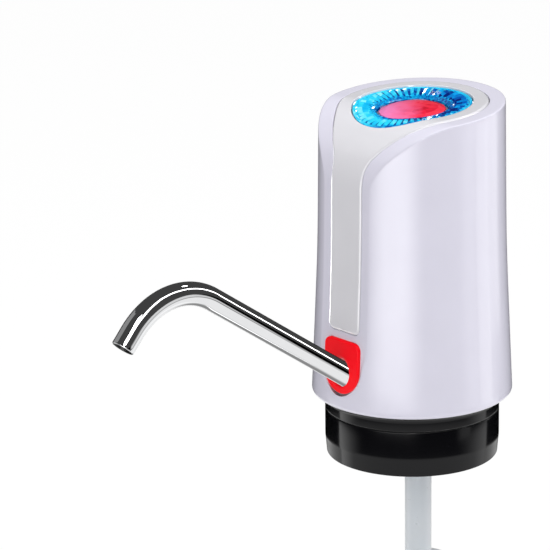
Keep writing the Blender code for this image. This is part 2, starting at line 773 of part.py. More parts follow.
SPOUT_FACE = sheet(0, height_to_s(OUTLET_Z - SPOUT_DROP), ESCUTCHEON_PROUD)
SPOUT_OUT = Vector((0, -math.cos(SPOUT_ANGLE), math.sin(SPOUT_ANGLE)))
SPOUT_PLACE = (Matrix.Translation(SPOUT_FACE)
               @ Matrix.Rotation(math.pi / 2 - SPOUT_ANGLE, 4, "X"))
SOCKET_BORE = SPOUT_RADIUS + RUN_GAP
GROOVE = SPOUT_RADIUS + 2 * O_RING + 2 * GAP
SOCKET_RADIUS = GROOVE + SOCKET_WALL
TUBE_BORE = NIPPLE_RADIUS + GAP
TUBE_RADIUS = TUBE_BORE + TUBE_WALL
SPOUT_UP = Vector((0, math.sin(SPOUT_ANGLE), math.cos(SPOUT_ANGLE)))
ELBOW = SPOUT_FACE - SPOUT_OUT * (SPOUT_DEPTH + SOCKET_END + TUBE_RADIUS + 2 * GAP)
NIPPLE_TIP = ELBOW + SPOUT_UP * (NIPPLE_RADIUS + NIPPLE_LENGTH)
TUBE_BACK = (NIPPLE_TIP + SPOUT_UP * 1.5 * NIPPLE_RADIUS).y + TUBE_RADIUS
MOTOR_X = -(BACKBONE / 2 + BACKBONE_CLEAR + MOTOR_RADIUS)
BATTERY_X = BACKBONE / 2 + BACKBONE_CLEAR + BATTERY_RADIUS
PUMP_Z = FLOOR_TOP + PUMP_CLEAR
DIAPHRAGM_Z = PUMP_Z + PUMP_HEAD + GAP
CASE_Z = DIAPHRAGM_Z + DIAPHRAGM + GAP
MOTOR_Z = CASE_Z + PUMP_CASE + GAP
CAP_Z = MOTOR_Z + MOTOR_LENGTH + GAP
CUP_Z = FLOOR_TOP + BATTERY_CLEAR
BATTERY_Z = CUP_Z + CUP_FLOOR + GAP + TAB + GAP
BATTERY_TOP = BATTERY_Z + BATTERY_LENGTH + BATTERY_POLE_RISE
JEWEL_BOTTOM = -(JEWEL_SINK + JEWEL_GIRDLE + JEWEL_BACK)
CARRIER_W = JEWEL_BOTTOM - GAP
STEM_W = CARRIER_W - CARRIER_TOP - STEM_LENGTH
PLUNGER_W = STEM_W - GAP
SWITCH_W = PLUNGER_W - PLUNGER_SHOW
BOARD_W = SWITCH_W - SWITCH_HEIGHT - GAP
SHELF_W = BOARD_W - BOARD - GAP
PORT_Z = FOOT_Z + PORT_HEIGHT


def make_materials():
    return {
        "white": material("white_abs", (0.86, 0.85, 0.9), 0.18),
        "panel": material("panel_abs", (0.78, 0.78, 0.8), 0.2),
        "black": material("black_abs", (0.015, 0.015, 0.017), 0.15),
        "inner": material("inner_abs", (0.32, 0.33, 0.35), 0.5),
        "crystal": material("blue_crystal", (0.02, 0.5, 0.9), 0.05, 0.0, 0.8),
        "red": material("red_abs", (0.8, 0.0, 0.02), 0.2),
        "jewel": material("red_jewel", (0.85, 0.05, 0.12), 0.08),
        "chrome": material("chrome", (0.8, 0.8, 0.8), 0.06, 1.0),
        "silicone": material("silicone", (0.85, 0.87, 0.88), 0.35, 0.0, 0.7),
        "gasket": material("grey_silicone", (0.5, 0.52, 0.54), 0.5),
        "rubber": material("black_rubber", (0.03, 0.03, 0.03), 0.6),
        "steel": material("zinc_steel", (0.6, 0.6, 0.6), 0.3, 1.0),
        "board": material("green_board", (0.02, 0.25, 0.1), 0.4),
        "cell": material("cell_wrap", (0.1, 0.35, 0.6), 0.35),
        "diffuser": material("white_diffuser", (0.9, 0.92, 0.95), 0.4),
        "led": material("led", (0.9, 0.9, 0.75), 0.3),
        "lead_red": material("red_lead", (0.7, 0.02, 0.02), 0.4),
        "lead_black": material("black_lead", (0.02, 0.02, 0.02), 0.4),
    }


def boss_places():
    return [math.tau * k / BASE_SCREWS + math.pi / 2 for k in range(BASE_SCREWS)]


def make_housing(mats):
    shell = housing_body("housing_shell", mats["white"])
    top = REAR_Z + OVERRUN
    steps = 5
    heights = [FOOT_Z - OVERRUN] + [FOOT_Z + (top - FOOT_Z) * k / steps for k in range(steps + 1)]
    profile = [(0, heights[0])] + [(body_radius(z) - WALL, z) for z in heights] + [(0, top)]
    cavity = turned("cavity", profile, steps=ROUND)
    boolean(cavity, face_block("cavity_front", -INNER_OFF))
    boolean(shell, cavity)
    for k, a in enumerate(boss_places()):
        x, y = BASE_SCREW_CIRCLE * math.cos(a), BASE_SCREW_CIRCLE * math.sin(a)
        low, high = FLOOR_TOP + GAP, FLOOR_TOP + BOSS_HEIGHT
        reach = body_radius(high) - WALL / 2
        boss = rod(f"boss_{k}", (x, y, low), (x, y, high), BOSS_RADIUS, steps=SMALL)
        rib = block(f"boss_rib_{k}", (0, -WALL / 2, low + BEND),
                    (reach - BASE_SCREW_CIRCLE, WALL / 2, high - BEND),
                    place=Matrix.Translation((x, y, 0)) @ Matrix.Rotation(a, 4, "Z"))
        boolean(boolean(shell, boss, "UNION"), rib, "UNION")
        hole = rod(f"boss_hole_{k}", (x, y, low - OVERRUN), (x, y, high - WALL), SCREW_RADIUS + GAP)
        boolean(shell, hole)
    grow = -GAP
    recess = make_object("panel_recess",
                         ladder(lambda inset: panel_outline(inset + grow), -PANEL_SEAT, OVERRUN))
    boolean(shell, recess)
    pocket = make_object("escutcheon_pocket",
                         ladder(lambda inset: escutcheon_outline(inset + grow),
                                -(ESCUTCHEON_BACK + GAP), OVERRUN))
    boolean(shell, pocket)
    boolean(shell, sheet_plug("ring_hole", RING_RADIUS - RING_FLANGE + GAP, -2 * INNER_OFF, OVERRUN))
    inner = SPOUT_FACE - SPOUT_OUT * (SPOUT_DEPTH + OVERRUN)
    outer = SPOUT_FACE + SPOUT_OUT * OVERRUN
    boolean(shell, rod("socket_hole", inner, outer, SOCKET_RADIUS + GAP, steps=MEDIUM))
    port = port_outline(PORT_WALL + GAP)
    opening = prism("port_hole", port, 0, 4 * OVERRUN)
    opening.matrix_world = (Matrix.Translation((0, body_radius(PORT_Z) + OVERRUN, PORT_Z))
                            @ Matrix.Rotation(math.pi / 2, 4, "X"))
    boolean(shell, opening)
    panel = make_object("hood_panel", ladder(panel_outline, -PANEL_DEPTH, PANEL_PROUD, PANEL_EDGE),
                        mats["panel"])
    boolean(panel, sheet_plug("panel_hole", RING_RADIUS + GAP, -INNER_OFF, OVERRUN))
    return shell


def port_outline(grow):
    """The charging port's outline: a flat rectangle whose lower corners are cut off."""
    w, h, c = PORT_WIDTH / 2 + grow, PORT_THICK / 2 + grow, PORT_ROUND + grow / 2
    return [(-w, h), (-w, -h + c), (-w + c, -h), (w - c, -h), (w, -h + c), (w, h)]


def make_head(mats):
    flange = RING_RADIUS - RING_FLANGE
    ring = [
        (RING_RADIUS, -PANEL_DEPTH),
        (RING_RADIUS, -RING_EDGE_LOW),
        (RING_RADIUS - RING_EDGE / 2, -RING_EDGE_LOW / 3),
        (RING_RADIUS - RING_EDGE, 0),
        ((RING_RADIUS * 3 + RING_BORE * 2) / 5, -RING_DISH * 2 / 5 + FLUTE_RISE),
        (RING_BORE + RING_EDGE * 2, -RING_DISH * 4 / 5),
        (RING_BORE + RING_EDGE / 2, -RING_DISH),
        (RING_BORE, -RING_DISH - FLUTE_RISE),
        (RING_BORE, -RING_DEPTH),
        (flange, -RING_DEPTH),
        (flange, -PANEL_DEPTH),
    ]
    ring_object("crystal_ring", ring, RING_FLUTES, mats["crystal"], half_rows=(4, 6), angle=8.0)
    guide_top = -(RING_DEPTH + GAP)
    guide_in, guide_out = flange - GUIDE_WALL, flange
    ring_object("light_guide", [(guide_out, guide_top - GUIDE_DEPTH), (guide_out, guide_top),
                                (guide_in, guide_top), (guide_in, guide_top - GUIDE_DEPTH)],
                MEDIUM, mats["diffuser"])
    # red jewel
    rows = [
        (JEWEL_RADIUS - BEND, JEWEL_BOTTOM, 0),
        (JEWEL_RADIUS, JEWEL_BOTTOM + JEWEL_BACK, 0),
        (JEWEL_RADIUS, -JEWEL_SINK, 0),
        (JEWEL_RADIUS * CROWN_SHARE, -JEWEL_SINK + JEWEL_RISE * CROWN_SHARE, 1),
        (JEWEL_RADIUS * TABLE_SHARE, -JEWEL_SINK + JEWEL_RISE, 0),
    ]
    bm = bmesh.new()
    grid = [[bm.verts.new((r * math.cos(a), r * math.sin(a), z))
             for a in (math.tau * (k + shift / 2) / JEWEL_FACETS for k in range(JEWEL_FACETS))]
            for r, z, shift in rows]
    for n in range(2):
        for i in range(JEWEL_FACETS):
            j = (i + 1) % JEWEL_FACETS
            bm.faces.new((grid[n][i], grid[n][j], grid[n + 1][j], grid[n + 1][i]))
    for i in range(JEWEL_FACETS):
        j = (i + 1) % JEWEL_FACETS
        bm.faces.new((grid[2][i], grid[2][j], grid[3][i]))
        bm.faces.new((grid[3][i], grid[2][j], grid[3][j]))
        bm.faces.new((grid[3][i], grid[3][j], grid[4][j]))
        bm.faces.new((grid[3][i], grid[4][j], grid[4][i]))
    bm.faces.new(grid[4])
    bm.faces.new(grid[0][::-1])
    jewel = make_object("button_jewel", bm, mats["jewel"], angle=5.0)
    jewel.matrix_world = HEAD
    wall = JEWEL_RADIUS - CARRIER_WALL
    turned("button_carrier", [
        (0, CARRIER_W), (JEWEL_RADIUS, CARRIER_W), (JEWEL_RADIUS, CARRIER_W - CARRIER_SKIRT),
        (wall, CARRIER_W - CARRIER_SKIRT), (wall, CARRIER_W - CARRIER_TOP),
        (STEM_RADIUS, CARRIER_W - CARRIER_TOP), (STEM_RADIUS, STEM_W), (0, STEM_W),
    ], mats["white"], MEDIUM, HEAD)
    turned("switch_plunger", [
        (0, PLUNGER_W - PLUNGER_LENGTH), (PLUNGER_RADIUS, PLUNGER_W - PLUNGER_LENGTH),
        (PLUNGER_RADIUS, PLUNGER_W), (0, PLUNGER_W),
    ], mats["black"], SMALL, HEAD)
    side = SWITCH_SIDE / 2
    switch = block("tact_switch", (-side, -side, SWITCH_W - SWITCH_HEIGHT), (side, side, SWITCH_W),
                   mats["inner"], place=HEAD)
    well = turned("switch_well", [
        (0, PLUNGER_W - PLUNGER_LENGTH - BUTTON_TRAVEL - GAP),
        (PLUNGER_RADIUS + RUN_GAP, PLUNGER_W - PLUNGER_LENGTH - BUTTON_TRAVEL - GAP),
        (PLUNGER_RADIUS + RUN_GAP, SWITCH_W + OVERRUN), (0, SWITCH_W + OVERRUN),
    ], None, SMALL, HEAD)
    boolean(switch, well)
    # control board with its lamps
    board = turned("control_board", [
        (0, BOARD_W - BOARD), (BOARD_RADIUS, BOARD_W - BOARD), (BOARD_RADIUS, BOARD_W), (0, BOARD_W),
    ], mats["board"], ROUND, HEAD)
    led_circle = (guide_in + guide_out) / 2
    for k in range(LED_COUNT):
        a = math.tau * (k + 0.5) / LED_COUNT
        place = HEAD @ Matrix.Rotation(a, 4, "Z") @ Matrix.Translation((led_circle, 0, BOARD_W + GAP))
        block(f"led_{k + 1}", (-LED_DEPTH / 2, -LED_SIDE / 2, 0), (LED_DEPTH / 2, LED_SIDE / 2, LED_HEIGHT),
              mats["led"], place=place)
    for k, sign in enumerate((-1, 1)):
        x = sign * (BOARD_RADIUS - SCREW_HEAD - BEND)
        place = HEAD @ Matrix.Translation((x, 0, BOARD_W + GAP))
        screw(f"board_screw_{k + 1}", BOARD_SCREW_LENGTH, mats["steel"], place)
        hole = rod(f"board_hole_{k + 1}", (x, 0, SHELF_W - SHELF - OVERRUN), (x, 0, BOARD_W + OVERRUN),
                   SCREW_RADIUS + GAP)
        hole.matrix_world = HEAD
        boolean(board, hole)
    return board


def screw(name, length, mat, place):
    """A pan-head screw that stands on z = 0 with its shank pointing down."""
    head, half = SCREW_HEAD, SCREW_HEAD / 2
    rise = SCREW_HEAD_HEIGHT
    turned(name, [
        (0, -length), (SCREW_RADIUS - BEND / 2, -length), (SCREW_RADIUS, -length + BEND),
        (SCREW_RADIUS, 0), (head, 0), (head, rise / 2), ((head + half) / 2 + BEND / 2, rise - BEND / 3),
        (half, rise), (0, rise),
    ], mat, SMALL, place)


def make_outlet(mats):
    plate = make_object("spout_escutcheon",
                        ladder(escutcheon_outline, -ESCUTCHEON_BACK, ESCUTCHEON_PROUD, PANEL_EDGE),
                        mats["red"])
    reach = 2 * (ESCUTCHEON_PROUD + ESCUTCHEON_BACK) + OVERRUN
    boolean(plate, rod("spout_hole", SPOUT_FACE - SPOUT_OUT * reach, SPOUT_FACE + SPOUT_OUT * reach,
                       SPOUT_RADIUS + RUN_GAP, steps=MEDIUM))
    # spout: straight, one bend, a short straight end; the local Z is the socket's axis
    path = [(0, 0, -SPOUT_DEPTH), (0, 0, 0), (0, 0, SPOUT_STRAIGHT / 2), (0, 0, SPOUT_STRAIGHT)]
    bends = 16
    for k in range(1, bends + 1):
        a = SPOUT_TURN * k / bends
        path.append((0, SPOUT_BEND * (1 - math.cos(a)), SPOUT_STRAIGHT + SPOUT_BEND * math.sin(a)))
    y, z = path[-1][1:]
    path.append((0, y + SPOUT_END * math.sin(SPOUT_TURN), z + SPOUT_END * math.cos(SPOUT_TURN)))
    flip = SPOUT_PLACE @ Matrix.Rotation(math.pi, 4, "Z")
    hollow_tube("spout_tube", path, SPOUT_RADIUS, SPOUT_BORE, mats["chrome"], MEDIUM - 4, flip)
    # socket: bored for the spout, with a groove, and an elbow with an upright nipple
    end = -(SPOUT_DEPTH + GAP)
    groove_w = 2 * O_RING + 2 * GAP
    seal = -SPOUT_DEPTH + groove_w * SEAL_SHARE
    profile = [(0, end - SOCKET_END), (SOCKET_RADIUS, end - SOCKET_END), (SOCKET_RADIUS, OVERRUN),
               (SOCKET_BORE, OVERRUN), (SOCKET_BORE, seal + groove_w / 2), (GROOVE, seal + groove_w / 2),
               (GROOVE, seal - groove_w / 2), (SOCKET_BORE, seal - groove_w / 2), (SOCKET_BORE, end),
               (0, end)]
    socket = turned("spout_socket", profile, mats["inner"], MEDIUM, SPOUT_PLACE)
    boolean(socket, face_block("socket_trim", -(ESCUTCHEON_BACK + GAP)))
    wall = SPOUT_FACE - SPOUT_OUT * (SPOUT_DEPTH + GAP + SOCKET_END / 2)
    tip = NIPPLE_TIP
    low = FLOOR_TOP + GAP
    boolean(socket, block("socket_foot", (-SOCKET_RADIUS / 2, ELBOW.y - SOCKET_RADIUS, low),
                          (SOCKET_RADIUS / 2, ELBOW.y + NIPPLE_RADIUS / 2,
                           ELBOW.z - NIPPLE_RADIUS / 2)), "UNION")
    boolean(socket, rod("socket_elbow", wall, ELBOW - SPOUT_OUT * NIPPLE_RADIUS, NIPPLE_RADIUS), "UNION")
    boolean(socket, rod("socket_nipple", ELBOW, tip, NIPPLE_RADIUS * ELBOW_SHARE), "UNION")
    inside = SPOUT_FACE - SPOUT_OUT * (SPOUT_DEPTH - GAP)
    boolean(socket, rod("socket_way", ELBOW, inside, NIPPLE_BORE * ELBOW_SHARE))
    boolean(socket, rod("nipple_bore", ELBOW, tip + SPOUT_UP * OVERRUN, NIPPLE_BORE))
    centre = SPOUT_RADIUS + GAP + O_RING
    turned("spout_o_ring", [(centre + O_RING * math.cos(a), seal + O_RING * math.sin(a))
                            for a in (math.tau * k / 8 for k in range(8))],
           mats["rubber"], MEDIUM, SPOUT_PLACE, angle=60.0)
    return tip


def make_base(mats):
    z0, z1 = 0.0, COLLAR_HEIGHT
    inner = COLLAR_RADIUS - COLLAR_WALL
    ledge = z1 - COLLAR_LEDGE
    collar = turned("base_collar", [
        (inner, z0), (COLLAR_MOUTH_RADIUS - BEND / 2, z0), (COLLAR_MOUTH_RADIUS, z0 + BEND / 2),
        (COLLAR_RADIUS - BEND / 4, COLLAR_TAPER_HEIGHT - BEND), (COLLAR_RADIUS, COLLAR_TAPER_HEIGHT + BEND),
        (COLLAR_RADIUS, z1 - BEND / 2), (COLLAR_RADIUS - BEND / 2, z1),
        (COLLAR_LEDGE_RADIUS, z1), (COLLAR_LEDGE_RADIUS, ledge), (inner, ledge),
    ], mats["black"], ROUND)
    # black band, its hollow flare under the housing, the floor and the spigot
    b0, b1 = BAND_Z, BAND_Z + BAND_HEIGHT
    b2 = b1 + FLARE_HEIGHT
    flare_r = FOOT_RADIUS - FOOT_ROUND - FLARE_INSET + FOOT_ROUND * 0.6
    spigot = body_radius(FOOT_Z + SPIGOT_HEIGHT) - WALL - GAP
    steps = 4
    flare = []
    for k in range(steps + 1):
        a = math.pi / 2 * k / steps
        flare.append((COLLAR_RADIUS + (flare_r - COLLAR_RADIUS) * (1 - math.cos(a)),
                      b1 + FLARE_HEIGHT * math.sin(a)))
    profile = [(COLLAR_LEDGE_RADIUS, b0), (COLLAR_RADIUS - BEND / 2, b0), (COLLAR_RADIUS, b0 + BEND / 2)]
    profile += flare
    profile += [(spigot, b2), (spigot, FOOT_Z + SPIGOT_HEIGHT),
                (spigot - SPIGOT_WALL, FOOT_Z + SPIGOT_HEIGHT),
                (spigot - SPIGOT_WALL, FLOOR_TOP), (0, FLOOR_TOP), (0, FLOOR_TOP - FLOOR),
                (COLLAR_LEDGE_RADIUS, FLOOR_TOP - FLOOR)]
    base = turned("base_plate", profile, mats["black"], ROUND)
    keep = face_block("spigot_trim", -(INNER_OFF + GAP))
    floor_guard = block("spigot_guard", (-2 * FOOT_RADIUS, -2 * FOOT_RADIUS, -2 * FOOT_RADIUS),
                        (2 * FOOT_RADIUS, 2 * FOOT_RADIUS, b2 + GAP / 3))
    boolean(keep, floor_guard)
    boolean(base, keep)
    for k, a in enumerate(boss_places()):
        x, y = BASE_SCREW_CIRCLE * math.cos(a), BASE_SCREW_CIRCLE * math.sin(a)
        notch = rod(f"boss_notch_{k}", (x, y, FLOOR_TOP), (x, y, FLOOR_TOP + 2 * SPIGOT_HEIGHT),
                    BOSS_RADIUS + GAP)
        slot = block(f"rib_notch_{k}", (0, -WALL / 2 - GAP, FLOOR_TOP), (FOOT_RADIUS, WALL / 2 + GAP,
                     FLOOR_TOP + 2 * SPIGOT_HEIGHT),
                     place=Matrix.Translation((x, y, 0)) @ Matrix.Rotation(a, 4, "Z"))
        boolean(boolean(base, notch), slot)
        head_z = ledge + SCREW_HEAD_HEIGHT
        hole = rod(f"base_hole_{k}", (x, y, -OVERRUN), (x, y, FLOOR_TOP + OVERRUN), SCREW_RADIUS + GAP)
        boolean(base, hole)
        boolean(collar, hole)
        sink = rod(f"base_sink_{k}", (x, y, ledge - OVERRUN), (x, y, head_z + GAP), SCREW_HEAD + GAP)
        boolean(collar, sink)
        place = (Matrix.Translation((x, y, head_z)) @ Matrix.Rotation(math.pi, 4, "X"))
        screw(f"base_screw_{k + 1}", SCREW_LENGTH + FLOOR, mats["steel"], place)
    for k, (x, fy) in enumerate(foot_places()):
        boolean(base, rod(f"foot_hole_{k}", (x, fy, FLOOR_TOP - FLOOR - OVERRUN),
                          (x, fy, FLOOR_TOP + OVERRUN), SCREW_RADIUS + GAP))
    # barb below and stub above, bored through
    y = HOSE_OFFSET
    tip = FLOOR_TOP - FLOOR - BARB_LENGTH
    pitch = (BARB_LENGTH - BARB_CORE) / BARBS
    barb = [(0, tip), (BARB_CORE - BEND / 2, tip)]
    for k in range(BARBS):
        low = tip + pitch * k
        barb += [(BARB_CORE, low + BEND / 3), (BARB_RADIUS, low + pitch * 0.7),
                 (BARB_CORE, low + pitch * 0.75)]
    root = FLOOR_TOP - FLOOR / 2
    stub = FLOOR_TOP + STUB_LENGTH
    barb += [(BARB_CORE, root), (NIPPLE_RADIUS, root), (NIPPLE_RADIUS, stub), (0, stub)]
    pipe = turned("barb", barb, None, SMALL, Matrix.Translation((0, y, 0)))
    bore = rod("barb_bore", (0, y, tip - OVERRUN), (0, y, stub + OVERRUN), BARB_BORE)
    boolean(base, pipe, "UNION")
    boolean(base, bore)
    # soft sleeve that grips the bottle's neck
    outer = inner - GAP
    thin = outer - GASKET_WALL
    top = ledge - GASKET_DROP
    pitch = top / (GASKET_LIPS + 0.5)
    sleeve = [(thin, 0.0), (outer, 0.0), (outer, top), (thin, top)]
    for k in range(GASKET_LIPS, 0, -1):
        z = pitch * k - pitch / 4
        sleeve += [(thin, z + GASKET_LIP), (thin - GASKET_LIP, z + LIP_EDGE / 2),
                   (thin - GASKET_LIP, z - LIP_EDGE / 2), (thin, z - GASKET_LIP)]
    turned("neck_gasket", sleeve, mats["gasket"], 2 * MEDIUM)
    return tip


def foot_places():
    """The chassis's two screw feet, on the backbone's line."""
    return [(0.0, INNER_Y - BACKBONE_FRONT + FOOT_DEPTH / 2 + BEND),
            (0.0, INNER_Y + BACKBONE_REAR - FOOT_DEPTH / 2)]


def make_chassis(mats):
    low = FLOOR_TOP + GAP
    half = BACKBONE / 2
    front = max(INNER_Y - BACKBONE_FRONT, TUBE_BACK + BACKBONE_CLEAR)
    rear = INNER_Y + BACKBONE_REAR
    shelf_low = SHELF_W - SHELF
    reach = AXIS_Z + (SHELF_W - SHELF / 2) * math.cos(TOP_TILT)
    chassis = block("chassis", (-half, front, low + FOOT_THICK / 2),
                    (half, rear - FOOT_DEPTH / 3, reach), mats["inner"])
    shelf = turned("shelf", [(0, shelf_low), (SHELF_RADIUS, shelf_low), (SHELF_RADIUS, SHELF_W),
                             (0, SHELF_W)], None, MEDIUM, HEAD)
    boolean(chassis, shelf, "UNION")

    def clip(name, x, radius, z, height):
        tube = turned(name, [(radius, z), (radius + CLIP_WALL, z), (radius + CLIP_WALL, z + height),
                             (radius, z + height)], None, MEDIUM, Matrix.Translation((x, INNER_Y, 0)))
        boolean(chassis, tube, "UNION")

    cup_r = BATTERY_RADIUS + BACKBONE_CLEAR / 2
    cup_out, cup_top, cup_in = cup_r + CLIP_WALL, CUP_Z + CUP_HEIGHT, CUP_Z + CUP_FLOOR
    cup = turned("battery_cup", [(0, CUP_Z), (cup_out, CUP_Z), (cup_out, cup_top), (cup_r, cup_top),
                                 (cup_r, cup_in), (0, cup_in)],
                 None, MEDIUM, Matrix.Translation((BATTERY_X, INNER_Y, 0)))
    boolean(chassis, cup, "UNION")
    boolean(chassis, rod("cup_hole", (BATTERY_X, INNER_Y, CUP_Z - OVERRUN),
                         (BATTERY_X, INNER_Y, cup_in + OVERRUN), BATTERY_POLE))
    arch = 2 * BACKBONE_CLEAR
    boolean(chassis, block("tube_arch", (-2 * BACKBONE, HOSE_OFFSET - TUBE_RADIUS - arch, low - OVERRUN),
                           (2 * BACKBONE, HOSE_OFFSET + TUBE_RADIUS + 2 * arch, CUP_Z + 2 * arch)))
    clip("battery_clip", BATTERY_X, cup_r, BATTERY_Z + BATTERY_LENGTH - 2 * CLIP_HEIGHT, CLIP_HEIGHT)
    clip("motor_clip", MOTOR_X, MOTOR_RADIUS + GAP, MOTOR_Z + MOTOR_LENGTH - 2 * CLIP_HEIGHT, CLIP_HEIGHT)
    clip("pump_clip", MOTOR_X, PUMP_RADIUS + GAP, CASE_Z + GAP, CLIP_HEIGHT)
    for k, (x, y) in enumerate(foot_places()):
        foot = block(f"foot_{k}", (x - FOOT_WIDTH / 2, y - FOOT_DEPTH / 2, low),
                     (x + FOOT_WIDTH / 2, y + FOOT_DEPTH / 2, low + FOOT_THICK))
        boolean(chassis, foot, "UNION")
    tab_z = PORT_Z - PORT_THICK / 2 - PORT_WALL - GAP - BOARD - GAP
    port_y = body_radius(PORT_Z) - PORT_SINK - PORT_DEPTH
    tab = block("port_tab", (-PORT_BOARD_WIDTH / 2, rear - FOOT_DEPTH / 2, tab_z - SHELF),
                (PORT_BOARD_WIDTH / 2, port_y + PORT_DEPTH / 2, tab_z))
    boolean(chassis, tab, "UNION")
    for k, (x, y) in enumerate(foot_places()):
        top = low + FOOT_THICK
        boolean(chassis, rod(f"screw_way_{k}", (x, y, low - OVERRUN), (x, y, top + OVERRUN),
                             SCREW_RADIUS + GAP))
        slot = block(f"driver_way_{k}", (x - FOOT_WIDTH / 2 - GAP, y - SCREW_HEAD - GAP, top - GAP / 3),
                     (x + FOOT_WIDTH / 2 + GAP, y + SCREW_HEAD + GAP, top + CLIP_HEIGHT))
        boolean(chassis, slot)
        screw(f"chassis_screw_{k + 1}", FOOT_THICK + FLOOR, mats["steel"],
              Matrix.Translation((x, y, top + GAP)))
    for k, sign in enumerate((-1, 1)):
        x = sign * (BOARD_RADIUS - SCREW_HEAD - BEND)
        hole = rod(f"shelf_hole_{k}", (x, 0, shelf_low - OVERRUN), (x, 0, SHELF_W + OVERRUN),
                   SCREW_RADIUS + GAP)
        hole.matrix_world = HEAD
        boolean(chassis, hole)
    lead_y = INNER_Y + BATTERY_RADIUS + BACKBONE_CLEAR / 2 + CLIP_WALL + 2 * LEAD_RADIUS
    for name, x, y, radius in (("motor_window", MOTOR_X, INNER_Y, MOTOR_RADIUS / 2),
                               ("cell_window", BATTERY_X, INNER_Y, BATTERY_RADIUS / 2),
                               ("lead_notch", BATTERY_X, lead_y, 2 * LEAD_RADIUS)):
        low_z, high_z = reach - SHELF - OVERRUN, reach + SHELF + OVERRUN
        boolean(chassis, rod(name, (x, y, low_z), (x, y, high_z), radius, steps=MEDIUM))
    # charging board on its tab, and the port's metal shell
    block("charge_board", (-PORT_BOARD_WIDTH / 2, port_y - PORT_BOARD_DEPTH / 2, tab_z + GAP),
          (PORT_BOARD_WIDTH / 2, port_y + PORT_DEPTH / 2, tab_z + GAP + BOARD), mats["board"])
    place = Matrix.Translation((0, port_y + PORT_DEPTH, PORT_Z)) @ Matrix.Rotation(math.pi / 2, 4, "X")
    port = prism("usb_socket", port_outline(PORT_WALL), 0, PORT_DEPTH, mats["steel"])
    port.matrix_world = place
    bore = prism("port_bore", port_outline(0), -OVERRUN, PORT_DEPTH - PORT_SINK)
    bore.matrix_world = place
    boolean(port, bore)


